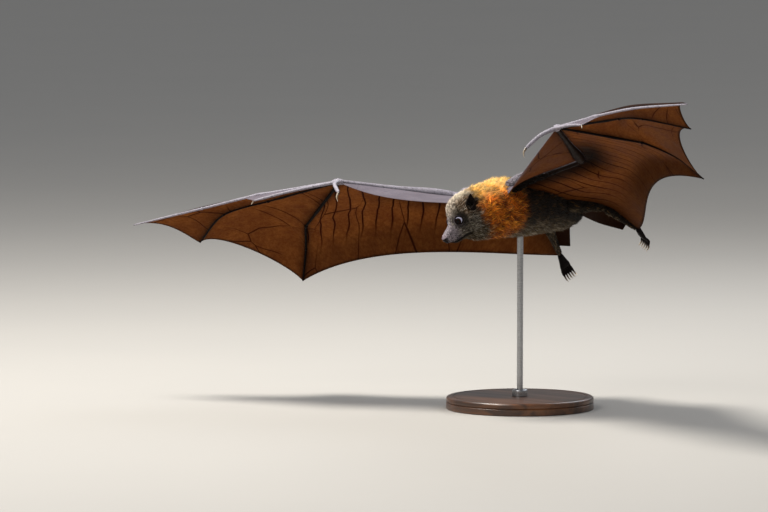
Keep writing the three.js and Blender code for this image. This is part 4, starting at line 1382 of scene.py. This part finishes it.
def web_reach(name, w):
    """How far in mm a membrane's inner edge carries on into the body."""
    if name == "arm":
        return 15.0 * (1 - eased(0.0, 0.56, w)) + 0.6
    return np.full_like(w, 14.0) * (0.2 if name == "tail" else 1) + 0.6


def membrane_part(side, name, surface, cells, rooted, thickness):
    u, w = np.meshgrid(*(np.linspace(0, 1, count + 1) for count in cells), indexing="ij")
    grid = surface(u, w)
    span = np.linalg.norm(np.diff(grid, axis=0), axis=2).sum(0).mean()
    chord = np.linalg.norm(np.diff(grid, axis=1), axis=2).sum(1)
    if name in WEB_FOLDS:
        grid = folded(grid, u, w, WEB_FOLDS[name])
    if rooted:
        reach = web_reach(name, w[:1])
        inward = unit(grid[:1] - grid[1:2])
        hidden = [grid[:1] + inward * reach[..., None] * far for far in (1, 0.66, 0.33)]
        grid = np.concatenate([*hidden, grid])
        u = np.concatenate([np.zeros((3, u.shape[1])), u])
        w = np.concatenate([np.repeat(w[:1], 3, 0), w])
        chord = np.concatenate([np.repeat(chord[:1], 3), chord])
    # How far, in mm, each place is from the free edge and from the nearest bone.
    back, ends, side_edge = w * chord[:, None], (1 - w) * chord[:, None], (1 - u) * span
    far = np.full_like(w, 99.0)
    free, bone = {
        "front": (back, ends * 0.7), "arm": (ends, np.minimum(back, side_edge)), "tail": (ends, back),
        "tip": (side_edge, np.minimum(back, ends)), "hand": (side_edge, np.minimum(back, ends)),
        "lead": (far, far),
    }[name]
    hem, bone = bell(free, 1.3), np.exp(-bone / 5)
    inner = muscle = shade = fan = 0 * u
    if name == "arm":
        # The lines fan a little towards the wrist and end before the free edge; the skin is dark along the
        # body, and painted shade darkens it behind the upper arm and elbow.
        fan = 0.25 * np.maximum(u - 0.38, 0) * np.clip(1 - w / 0.6, 0, 1) ** 1.3
        muscle = eased(0.0, 0.05, w) * (1 - eased(0.66, 0.92, w))
        inner = np.exp(-u * span / 26) * (1 - 0.4 * eased(0.6, 1.0, w))
        shade = 0.88 * (1 - eased(20, 84, back)) * (1 - eased(0.45, 0.9, u))
    elif name == "tail":
        # Painted shade over all of the tail skin.
        shade = shade + 0.8
    # Each membrane reads the pattern at a depth of its own.
    kind = WEBS.index(name) + (len(WEBS) if side == "right" else 0)
    web = np.stack([(u - fan) * span * MM, w * chord[:, None] * MM, np.full_like(u, kind * 0.37)], -1)
    normal = unit(np.cross(np.gradient(grid, axis=0), np.gradient(grid, axis=1)))
    top = np.full(u.size, 1.0 if normal[..., 2].mean() > 0 else -1.0)
    # Both faces of the lead skin take the top colour, with its painted sky light.
    tops = np.ones(2 * u.size) if name == "lead" else np.r_[top, -top]
    points, faces = sheet(grid, thickness / MM * (1 - 0.25 * hem))

    def both_faces(values):
        return np.concatenate([values.reshape(-1, *values.shape[2:])] * 2)

    slot = "membrane_front" if name in ("front", "lead") else "membrane"
    return Part(f"web_{name}_{side}", points, faces, slot, web=both_faces(web),
                rims=both_faces(np.stack([hem, bone, inner], -1)),
                stretch=np.c_[both_faces(np.stack([muscle, shade], -1)), tops])


def solved(objects, operation="UNION"):
    """The first object's mesh, joined with or cut by the others."""
    first, *others = objects
    group = bpy.data.collections.new("operands")
    for other in others:
        group.objects.link(other)
    bpy.context.scene.collection.objects.link(first)
    step = first.modifiers.new("solve", "BOOLEAN")
    step.operation, step.solver = operation, "MANIFOLD"
    step.operand_type, step.collection = "COLLECTION", group
    scene_group = bpy.context.scene.collection.children
    scene_group.link(group)
    bpy.context.view_layer.update()
    mesh = bpy.data.meshes.new_from_object(first.evaluated_get(bpy.context.evaluated_depsgraph_get()))
    scene_group.unlink(group)
    for used in objects:
        bpy.data.objects.remove(used)
    bpy.data.collections.remove(group)
    if not len(mesh.polygons):
        raise RuntimeError("the skin's forms could not be joined")
    return mesh


def plain_object(name, points, faces):
    return bpy.data.objects.new(name, new_mesh(name, to_row(points), outward(points, faces)))


def skin_cuts():
    """What is cut out of the skin: eye sockets, the openings between the lids, and the rod's seat."""
    for side, centre in EYE_CENTRE.items():
        size, axes = EYE["radius"], eye_axes(side)
        yield plain_object(f"socket_{side}", *ball(centre, (size + SOCKET_GAP,) * 3, rings=40, sides=64))
        ahead = centre + axes[2] * size * OPENING["ahead"]
        radii = np.array(OPENING["radii"]) * size
        yield plain_object(f"opening_{side}", *ball(ahead, radii, axes, rings=24, sides=48))
    radius = ROD["radius"] + SEAT_GAP
    points, faces = tube(turned_rings([(radius, 60.0), (radius, ROD["top"] + 1)], 24))
    yield plain_object("seat", to_animal(points), faces)


class FLYINGFOX_OT_skin(bpy.types.Operator):
    """Joins body, ears, lids, limbs, feet and membranes into one skin"""

    bl_idname = "flyingfox.skin"
    bl_label = "Skin and membranes"

    def execute(self, context):
        names = materials(context.scene)
        thickness = context.scene.flying_fox_skin.web_thickness
        parts = [body_part()]
        for side in SIGN:
            parts += [ear_part(side), lid_part(side)]
            parts += [limb_part(side, name, curve) for name, curve in limb_curves(side).items()]
            parts += foot_and_joint_parts(side)
            parts += [
                membrane_part(side, name, *form, thickness) for name, form in membranes_of(side).items()
            ]
        skin = bpy.data.objects.new("skin", solved([part.build(names) for part in parts]))
        mesh = solved([skin, *skin_cuts()], "DIFFERENCE")
        mesh.name = "skin"
        mesh.polygons.foreach_set("use_smooth", np.ones(len(mesh.polygons), bool))
        flesh = [
            name for name in frame["nodes"]
            if not name.startswith(("eye", "stand", "toe_claw")) and "_claw_" not in name
        ]
        new_piece("skin", mesh, [], "bare_skin", flesh)
        return {"FINISHED"}


# ---- eyes and claws ----
GAZE = {"ahead": 0.45, "up": -0.08}  # against one out of the head
CLAW_FLATNESS = 0.82
CLAW_KEEL = 0.15


class FLYINGFOX_OT_eyes(bpy.types.Operator):
    """Makes both eyeballs, with pupil and iris"""

    bl_idname = "flyingfox.eyes"
    bl_label = "Eyes"

    def execute(self, context):
        for side in SIGN:
            axes = eye_axes(side)
            points, faces = ball(EYE_CENTRE[side], (EYE["radius"],) * 3, axes, rings=48, sides=64)
            mesh = new_mesh(f"eyeball_{side}", to_row(points), outward(points, faces))
            # It looks ahead, so the white, partly a painted reflection of the sky, shows above and behind.
            look = unit(axes[2] + axes[0] * GAZE["ahead"] + axes[1] * GAZE["up"])
            angle = np.arccos(np.clip(unit(points - EYE_CENTRE[side]) @ look, -1, 1)) / np.pi
            give(mesh, "gaze", angle * 2)
            new_piece(f"eyeball_{side}", mesh, [materials(context.scene)["eye"]], "eye", [f"eye_{side}"])
        return {"FINISHED"}


def claw_mesh(name, curve, table, sideways):
    """A claw, flatter from side to side and with a keel below."""
    share, turn = round_turns(np.linspace(0, 1, 23), 14)
    side, over = limb_axes(curve, share, sideways)
    across, through = columns_at(table, share)
    flat = np.cos(turn) * across * CLAW_FLATNESS
    tall = np.sin(turn) * through * (1 + CLAW_KEEL * np.sin(turn))
    points, faces = tube(curve.at(share) + side * flat[..., None] + over * tall[..., None])
    mesh = new_mesh(name, to_row(points), outward(points, faces))
    give(mesh, "claw", ring_values(np.stack([share, np.sin(turn), 0 * share], -1)))
    return mesh


class FLYINGFOX_OT_claws(bpy.types.Operator):
    """Makes the claws of the thumbs, second fingers and toes"""

    bl_idname = "flyingfox.claws"
    bl_label = "Claws"

    def execute(self, context):
        horn = [materials(context.scene)["claw"]]
        for side in SIGN:
            joint = joints_of(side)
            for digit, label in (("thumb", "thumb"), ("second", "finger_2")):
                start, end = joint[f"{digit}_end"], joint[f"{digit}_claw"]
                bend = mix(start, end, 0.5)
                if digit == "thumb":
                    bend = bend + np.array((0, -2.6, 0.6))
                sideways = unit(np.cross(end - start, bend - start + np.array((0, -1.0, 0.3))))
                curve = smooth(beyond(bend, start, 0.9), bend, end)
                mesh = claw_mesh(f"{label}_nail_{side}", curve, RADII[f"{digit}_claw"], sideways)
                new_piece(mesh.name, mesh, horn, "claw", [f"{label}_claw_{side}"])
            _, _, claws, across = foot_parts(side, joint)
            for toe, curve in enumerate(claws, 1):
                mesh = claw_mesh(f"toe_nail_{toe}_{side}", curve, RADII["toe_claw"], across)
                new_piece(mesh.name, mesh, horn, "claw", [f"toe_claw_{toe}_{side}"])
        return {"FINISHED"}


# ---- the coat ----
# Along the spine: mm from the nose, a tuft's length and width in mm, tufts to a square mm, and sway.
COAT_SHAPE = np.array((
    (0, 1.1, 0.26, 3.0, 0.12), (10, 1.5, 0.3, 3.2, 0.15), (20, 2.6, 0.36, 3.0, 0.2),
    (30, 4.2, 0.44, 2.8, 0.28), (42, 6, 0.52, 2.5, 0.35), (54, 8.5, 0.66, 2.2, 0.45),
    (64, 12.5, 0.82, 1.9, 0.6), (78, 14.5, 0.92, 1.75, 0.72), (98, 14.5, 0.95, 1.7, 0.7),
    (118, 13.5, 1.0, 1.25, 0.42), (150, 12.5, 1.05, 1.1, 0.36), (205, 11.5, 1.0, 1.1, 0.36),
    (245, 9.5, 0.85, 1.3, 0.4), (267, 6, 0.7, 1.6, 0.4),
))
# Pieces of the body's coat: from and to in mm along the spine, and the slot.
COAT_PIECES = {
    "coat_muzzle": (2.6, 38, "coat_face"), "coat_head": (38, 60, "coat_face"),
    "coat_nape": (60, 79, "coat_mantle"), "coat_collar": (79, 100, "coat_mantle"),
    "coat_shoulders": (100, 128, "coat_trunk"), "coat_flanks": (128, 182, "coat_trunk"),
    "coat_rump": (182, 265, "coat_trunk"),
}
# Fur on the limbs: the limb, from and to by share, length at both ends, and tufts to a square mm.
LIMB_COAT = {
    "coat_arms": (("upper_arm", 0.1, 0.72, 8.0, 3.0, 1.0),),
    "coat_legs": (("thigh", 0.05, 1.0, 10.0, 6.5, 1.4), ("shin", 0.0, 0.92, 6.0, 3.0, 1.8)),
}
# A tuft's points are three round its root, three round its middle, and its tip.
TUFT_ALONG = (0, 0, 0, 0.5, 0.5, 0.5, 1.0)
TUFT_FACES = np.array([
    (0, 2, 1), (0, 1, 4), (0, 4, 3), (1, 2, 5), (1, 5, 4), (2, 0, 3), (2, 3, 5), (3, 4, 6), (4, 5, 6),
    (5, 3, 6),
])
# Where each corner of those faces lies on its tuft's patch of the map: round it, and along it.
TUFT_PATCH = np.array([
    (0, 0.06), (2, 0.06), (1, 0.0), (0, 0.1), (1, 0.1), (1, 0.5), (0, 0.1), (1, 0.5), (0, 0.5),
    (1, 0.1), (2, 0.1), (2, 0.5), (1, 0.1), (2, 0.5), (1, 0.5), (2, 0.1), (3, 0.1), (3, 0.5),
    (2, 0.1), (3, 0.5), (2, 0.5), (0, 0.5), (1, 0.5), (0.5, 1), (1, 0.5), (2, 0.5), (1.5, 1),
    (2, 0.5), (3, 0.5), (2.5, 1),
]) / (3, 1)
PATCH = 0.003
SUNK = 0.35  # mm that a tuft's root is under the skin
# A tuft's lower and upper part: share of its length, share of its lift, and lean towards the clump.
LOWER = {"length": 0.45, "rise": 1.35, "lean": 0.3}
UPPER = {"length": 0.55, "rise": 0.6, "lean": 0.5}
TONE_SPREAD = 0.4  # of clumps and single tufts together
BARE = 0.3  # no fur grows where the skin is creased more than this
EYE_CLEAR = 0.8  # nor within so many mm of an eyeball
EAR_CLEAR = {"ahead": 2.0, "up": 1.5, "radius": 5.6}
ROD_CLEAR = 0.6
FACE_FUR_END = 60  # mm from the nose: up to here, neighbouring tufts differ most in tone
MANTLE_END = 100  # and from there up to here they lie in large clumps
BEARD = {"along": 36, "width": 9, "longer": 0.9, "looser": 0.7}


def field(points, seed, low, high):
    """A smooth field through space from about -1 to 1, of seven waves of those lengths in mm."""
    rng = np.random.default_rng(seed)
    total = np.zeros(len(points))
    for _ in range(7):
        way = unit(rng.normal(size=3)) * 2 * np.pi / rng.uniform(low, high)
        total += np.sin(points @ way + rng.uniform(0, 2 * np.pi))
    return total / np.sqrt(7)


def turned_about(vectors, axes, angle):
    angle = angle[:, None]
    return vectors * np.cos(angle) + np.cross(axes, vectors) * np.sin(angle)


def in_body(points):
    """Which points are under the body's skin."""
    distance = np.linspace(0, SPINE_LENGTH, 90)
    middle, _, left, up = spine_frame(distance)
    tree = search_tree(middle)
    near = np.array([tree.find(point)[1] for point in points])
    offset = points - middle[near]
    x, z = (offset * left[near]).sum(1), (offset * up[near]).sum(1)
    half, above, below = columns_at(SECTIONS, distance[near])
    depth = coat_depth(distance[near])
    return (x / (half - depth)) ** 2 + (z / (np.where(z > 0, above, below) - depth)) ** 2 < 0.97


def in_limbs(points):
    """Which points are inside an upper arm, a thigh, an ear or the rod."""
    inside = np.zeros(len(points), bool)
    share = np.linspace(0, 1, 60)
    for side, sign in SIGN.items():
        curves = limb_curves(side)
        for name in ("upper_arm", "thigh"):
            radius = table_at(RADII[name], share)[:, 0] - LIMB_INSET[name]
            for centre, size in zip(curves[name].at(share), radius):
                inside |= ((points - centre) ** 2).sum(1) < (size - 0.2) ** 2
        _, ahead, _, up = spine_frame(EAR["along"])
        spot = head_point(EAR, sign) + ahead * EAR_CLEAR["ahead"] + up * EAR_CLEAR["up"]
        inside |= ((points - spot) ** 2).sum(1) < EAR_CLEAR["radius"] ** 2
    rod = points @ TURN.T + PLACE
    near_rod = np.hypot(rod[:, 0], rod[:, 1]) < ROD["radius"] + ROD_CLEAR
    return inside | near_rod & (rod[:, 2] < ROD["top"])


def spiral_turns(count):
    """Turns round a form for roots in order along it, spread evenly."""
    return 2 * np.pi * np.mod(np.arange(count) * GOLDEN, 1)


def body_roots(low, high, amount):
    """Even but irregular places on the body's skin: their distance and turn."""
    line = np.linspace(low, high, 400)
    around = columns_at(SECTIONS, line).max(0) * np.interp(line, COAT_SHAPE[:, 0], COAT_SHAPE[:, 3])
    share = np.r_[0, np.cumsum((around[1:] + around[:-1]) / 2 * np.diff(line))]
    count = int(share[-1] * 2 * np.pi * amount)
    distance = np.interp((np.arange(count) + 0.5) / count * share[-1], share, line)
    turn = spiral_turns(count)
    rng = np.random.default_rng(int(low * 10))
    # As many are left out as the body is slimmer there than all round.
    half, above, below = columns_at(SECTIONS, distance)
    tall = np.where(np.sin(turn) > 0, above, below)
    local = np.hypot(half * np.sin(turn), tall * np.cos(turn)) / np.maximum(half, np.maximum(above, below))
    kept = rng.random(count) < local
    distance, turn = distance[kept], turn[kept]
    return distance + rng.normal(0, 0.25, len(turn)), turn + rng.normal(0, 0.012, len(turn))


def surface_frame(form, a, b, step_a, step_b):
    """Points of a form at a and b, the way out of it, and the way in which a grows."""
    here = form(a, b)
    along = form(a + step_a, b) - form(a - step_a, b)
    about = form(a, b + step_b) - form(a, b - step_b)
    return here, unit(np.cross(along, about)), unit(along)


def tuft_mesh(name, root, out, lie, length, width, lift, places, spots, seed, clump=8, own=0.13):
    """Closed tufts, bent over along the lie of the coat, in clumps that each have their tone."""
    rng = np.random.default_rng(seed)
    count = len(root)
    # Neighbouring tips lean together.
    centres = root[::clump]
    tree = search_tree(centres)
    found = [tree.find(spot) for spot in root]
    pull = np.array([spot for spot, _, _ in found]) - root
    shared = rng.normal(0, TONE_SPREAD - own, len(centres))[[index for _, index, _ in found]]
    tone = np.clip(0.5 + shared + rng.normal(0, own, count), 0, 1)
    rise = np.clip(lift * (1 + 0.3 * rng.normal(size=count)), 0.04, 1.2)[:, None]
    low, high = (
        unit(lie * np.cos(rise * part["rise"]) + out * np.sin(rise * part["rise"])) for part in (LOWER, UPPER)
    )
    length = (length * rng.uniform(0.78, 1.12, count))[:, None]
    middle = root + low * (length * LOWER["length"]) + pull * LOWER["lean"]
    tip = middle + high * (length * UPPER["length"]) + pull * UPPER["lean"]
    side = unit(np.cross(out, low))
    over = np.cross(low, side)
    turn = rng.normal(0, 0.5, count)
    side, over = turned_about(side, low, turn), turned_about(over, low, turn)
    size = (width * rng.uniform(0.75, 1.3, count))[:, None]
    sunk = root - out * SUNK
    corners = [
        sunk - side * size / 2, sunk + side * size / 2, sunk + over * size * 0.4,
        middle - side * size * 0.42, middle + side * size * 0.42, middle + over * size * 0.34, tip,
    ]
    points = np.stack(corners, 1).reshape(-1, 3)
    each = len(TUFT_ALONG)
    faces = (np.arange(count)[:, None, None] * each + TUFT_FACES).reshape(-1, 3)
    mesh = new_mesh(name, to_row(points), faces)
    give(mesh, "coat_place", np.repeat(places, each, 0))
    along = np.tile(TUFT_ALONG, count)
    give(mesh, "tuft", np.stack([np.repeat(tone, each), along, 0 * along], 1))
    patch = (spots - PATCH / 2)[:, None] + TUFT_PATCH * PATCH
    layer = mesh.uv_layers.new(name="OFBake")
    layer.data.foreach_set("uv", patch.astype(np.float32).ravel())
    return mesh


def map_spots(spots):
    """Roots' places on the map, just inside its edges."""
    return 0.01 + 0.98 * spots


def body_coat(name, low, high, settings):
    """Tufts on the body between two distances from the nose."""
    distance, turn = body_roots(low, high, settings.amount)

    def skin(along, about):
        return skin_form(np.clip(along, 0.4, SPINE_LENGTH - 0.4), about)[0]

    root, out, lie = surface_frame(skin, distance, turn, 0.5, 0.01)
    kept = ~in_limbs(root) & (skin_form(distance, turn)[2] < BARE)
    for centre in EYE_CENTRE.values():
        kept &= np.linalg.norm(root - centre, axis=1) > EYE["radius"] + EYE_CLEAR
    distance, turn, root, out, lie = (values[kept] for values in (distance, turn, root, out, lie))
    length, width, _, sway = (np.interp(distance, COAT_SHAPE[:, 0], column) for column in COAT_SHAPE.T[1:])
    for centre in EYE_CENTRE.values():
        gap = np.linalg.norm(root - centre, axis=1) - EYE["radius"]
        length = np.minimum(length, 0.7 + 0.62 * gap)
    lie = turned_about(lie, out, sway * (field(root, 3, 6, 15) + 0.45 * field(root, 4, 2.5, 5)))
    lift = np.arcsin(np.clip(coat_depth(distance) / length, 0.08, 0.85))
    lift = lift * (1 + 0.35 * sway * field(root, 5, 5, 12))
    # The fur hangs longer under the jaw.
    beard = bell(distance - BEARD["along"], BEARD["width"]) * np.clip(-np.sin(turn), 0, 1) ** 3
    length, lift = length * (1 + BEARD["longer"] * beard), lift * (1 + BEARD["looser"] * beard)
    spots = np.stack([np.mod(turn / (2 * np.pi), 1), np.clip((distance - low) / (high - low), 0, 1)], 1)
    clump = 14 if FACE_FUR_END <= low < MANTLE_END else 7
    return tuft_mesh(name, root, out, lie, length, width, lift, body_place(distance, root), map_spots(spots),
                     settings.seed + int(low), clump, 0.25 if low < FACE_FUR_END else 0.13)


def limb_coat(name, rows, settings):
    """Tufts on both sides' limbs, in one piece."""
    found = []
    for index, (limb, start, end, long, short, density) in enumerate(rows):
        for number, side in enumerate(SIGN):
            curve, table, inset = limb_curves(side)[limb], RADII[limb], LIMB_INSET[limb]

            def form(along, about):
                return limb_form(curve, table, np.clip(along, 0, 1), about, -inset)[0]

            size = table_at(table, np.linspace(start, end, 40))[:, 0].mean() - inset
            count = int(2 * np.pi * size * curve.length * (end - start) * density * settings.amount)
            rng = np.random.default_rng(settings.seed + 100 + index * 2 + number)
            share = start + (end - start) * (np.arange(count) + 0.5) / count
            turn = spiral_turns(count) + rng.normal(0, 0.02, count)
            root, out, lie = surface_frame(form, share, turn, 0.01, 0.02)
            out = out * np.sign(((root - curve.at(share)) * out).sum(1))[:, None]
            progress = (share - start) / (end - start)
            kept = ~in_body(root)
            if limb == "upper_arm":
                # The fur thins out towards the elbow, and is painted lighter where it faces up and darker
                # where it faces down, as the light falls.
                kept &= rng.random(count) > progress**1.2 * 0.8
                there = np.stack([ARM_PLACE + 0 * share, 0 * share, out[:, 2]], 1)
            else:
                there = leg_place(share, -0.012 + 0.01 * np.sin(turn))
            spots = np.stack([(np.mod(turn / (2 * np.pi), 1) + 2 * index + number) / 4, progress], 1)
            values = (root, out, lie, long + (short - long) * progress, there, map_spots(spots))
            found.append([v[kept] for v in values])
    root, out, lie, length, there, spots = (np.concatenate(values) for values in zip(*found))
    lie = turned_about(lie, out, 0.35 * field(root, 3, 6, 15))
    lift = 0.3 + 0.1 * field(root, 5, 5, 12)
    return tuft_mesh(name, root, out, lie, length, 0.35 + length * 0.05, lift, there, spots,
                     settings.seed + 70)


class FLYINGFOX_OT_coat(bpy.types.Operator):
    """Grows the fur of the head, collar, trunk and limbs, tuft by tuft"""

    bl_idname = "flyingfox.coat"
    bl_label = "Coat"

    def execute(self, context):
        settings = context.scene.flying_fox_coat
        fur = [materials(context.scene)["coat"]]
        for name, (low, high, slot) in COAT_PIECES.items():
            new_piece(name, body_coat(name, low, high, settings), fur, slot)
        for name, rows in LIMB_COAT.items():
            new_piece(name, limb_coat(name, rows, settings), fur, "coat_trunk")
        return {"FINISHED"}


# ---- the stand ----
def quarter_round(radius, top, bend):
    """A profile's points round an upper outer edge."""
    return [
        (radius - bend + bend * np.cos(a), top - bend + bend * np.sin(a))
        for a in np.radians(np.linspace(0, 90, 9))
    ]


def turned_piece(name, profile, material, slot, node, sides, sharp=40):
    """A turned form, from its profile's radii and heights in mm."""
    points, faces = tube(turned_rings(profile, sides))
    mesh = new_mesh(name, points * MM, outward(points, faces))
    mesh.set_sharp_from_angle(angle=radians(sharp))
    return new_piece(name, mesh, [material], slot, [node])


class FLYINGFOX_OT_stand(bpy.types.Operator):
    """Turns the stand's wooden base, and its steel rod and collar"""

    bl_idname = "flyingfox.stand"
    bl_label = "Display stand"

    def execute(self, context):
        made = materials(context.scene)
        radius, top = BASE["radius"], BASE["thickness"]
        # A quarter round at the top edge, a bead below it and a groove on top.
        side = [(radius - 1, 0), (radius, 1), (radius, top - 8), (radius - 1.1, top - 7), (radius, top - 6)]
        floor_of = top - BASE["groove"]
        groove = [(radius - 8, top), (radius - 8.6, floor_of), (radius - 9.6, floor_of), (radius - 10.2, top)]
        profile = side + quarter_round(radius, top, BASE["edge"]) + groove + [(radius * 0.5, top)]
        turned_piece("stand_base_turned", profile, made["wood"], "stand_wood", "stand_base", 128)
        outer, inner, high = ROD["collar_radius"], ROD["radius"] + GAP, ROD["collar_height"]
        start = top + GAP
        collar = [(inner, start), (outer, start), (outer, start + high - 2.5)]
        collar += quarter_round(outer, top + high, 2) + [(inner, top + high)]
        turned_piece("stand_collar_turned", collar, made["steel"], "stand_steel", "stand_collar", 64, 50)
        rod = [(ROD["radius"] - 0.3, start), (ROD["radius"], start + 0.3), (ROD["radius"], ROD["top"] - 0.5)]
        turned_piece("stand_rod_polished", rod + [(ROD["radius"] - 0.5, ROD["top"])], made["steel"],
                     "stand_steel", "stand_rod", 48)
        return {"FINISHED"}


# ---- the stage ----
AIM = (-127.7, -60.1)  # mm from the animal's own origin to the middle of the view, across and up
LENS = 294.1
LENS_DISTANCE = 8.0  # the lens is that long at this distance, and longer further off
# Lights: metres from the animal to the camera's right, away from it and up; size, watts and colour.
LIGHTS = {
    "key": ((-1.0, 0.35, 2.3), 0.9, 118, (1, 0.96, 0.9)),
    "front": ((-1.5, -2.0, 1.5), 1.2, 34, (1, 0.97, 0.93)),
    "back": ((0.9, 1.6, 1.5), 1.2, 14, (0.9, 0.94, 1)),
}
SKY = {"Color": (0.86, 0.89, 0.94, 1), "Strength": 0.48}
FLOOR = {"radius": 18, "bend": 7}  # metres


def add_light(name, where, target, size, power, colour):
    light = bpy.data.lights.new(name, "AREA")
    light.shape, light.size, light.energy, light.color = "DISK", size, power, colour
    lamp = bpy.data.objects.new(name, light)
    lamp.location = where
    lamp.rotation_euler = (target - where).to_track_quat("-Z", "Y").to_euler()
    bpy.context.scene.collection.objects.link(lamp)


def floor_mesh():
    """A round floor that curves up into a backdrop, far behind any view."""
    radius, bend = FLOOR["radius"], FLOOR["bend"]
    profile = [(0.01, 0), (0.4, 0), (1.2, 0), (4, 0), (10, 0), (radius, 0)]
    profile += [(radius + bend * np.sin(t), bend - bend * np.cos(t)) for t in np.radians(range(10, 91, 10))]
    rings = turned_rings(profile, 96)
    return new_mesh("floor", rings.reshape(-1, 3), ring_faces(*rings.shape[:2])[:, ::-1])


class FLYINGFOX_OT_stage(bpy.types.Operator):
    """Sets the camera, the soft lights and a plain pale floor"""

    bl_idname = "flyingfox.stage"
    bl_label = "Stage"

    def execute(self, context):
        settings = context.scene.flying_fox_stage
        a, e = settings.azimuth, settings.elevation
        right = Vector((np.cos(a), np.sin(a), 0))
        up = Vector((-np.sin(a) * np.sin(e), np.cos(a) * np.sin(e), np.cos(e)))
        ahead = up.cross(right)
        centre = (Vector(PLACE) + right * AIM[0] + up * AIM[1]) * MM
        lens = bpy.data.cameras.new("camera")
        lens.lens = LENS * settings.distance / LENS_DISTANCE
        lens.clip_end = 100
        camera = bpy.data.objects.new("camera", lens)
        camera.matrix_world = Matrix((right, up, -ahead)).transposed().to_4x4()
        camera.location = centre - ahead * settings.distance
        context.scene.collection.objects.link(camera)
        context.scene.camera = camera
        context.scene.view_settings.view_transform = "Standard"

        middle = Vector(PLACE) * MM
        for name, ((across, away, high), *light) in LIGHTS.items():
            where = middle + right * across + ahead * away + Vector((0, 0, high))
            add_light(name, where, middle, *light)
        world = bpy.data.worlds.new("studio")
        world.use_nodes = True
        for name, value in SKY.items():
            world.node_tree.nodes["Background"].inputs[name].default_value = value
        context.scene.world = world

        mesh = floor_mesh()
        mesh.materials.append(floor_material(tuple(settings.floor)))
        floor = bpy.data.objects.new("floor", mesh)
        context.scene.collection.objects.link(floor)
        return {"FINISHED"}


# ---- the add-on ----
OPERATORS = (
    FLYINGFOX_OT_stage, FLYINGFOX_OT_stand, FLYINGFOX_OT_skin, FLYINGFOX_OT_eyes, FLYINGFOX_OT_claws,
    FLYINGFOX_OT_coat,
)


class FLYINGFOX_PT_panel(bpy.types.Panel):
    """Lists the flying fox's settings and the steps that build it"""

    bl_label = "Flying fox"
    bl_idname = "FLYINGFOX_PT_panel"
    bl_space_type = "VIEW_3D"
    bl_region_type = "UI"
    bl_category = "Flying fox"

    def draw(self, context):
        for name, group in SETTINGS.items():
            box = self.layout.box()
            for prop in group.__annotations__:
                box.prop(getattr(context.scene, name), prop)
        for operator in OPERATORS:
            self.layout.operator(operator.bl_idname)


def register():
    for group in SETTINGS.values():
        bpy.utils.register_class(group)
    for operator in OPERATORS:
        bpy.utils.register_class(operator)
    bpy.utils.register_class(FLYINGFOX_PT_panel)
    for name, group in SETTINGS.items():
        setattr(bpy.types.Scene, name, bpy.props.PointerProperty(type=group))


def unregister():
    for name in SETTINGS:
        delattr(bpy.types.Scene, name)
    for made in (FLYINGFOX_PT_panel, *reversed(OPERATORS), *SETTINGS.values()):
        bpy.utils.unregister_class(made)


def main():
    register()
    for operator in OPERATORS:
        group, name = operator.bl_idname.split(".")
        if "FINISHED" not in getattr(getattr(bpy.ops, group), name)():
            raise RuntimeError(f"{operator.bl_label} did not finish")


if __name__ == "__main__":
    main()
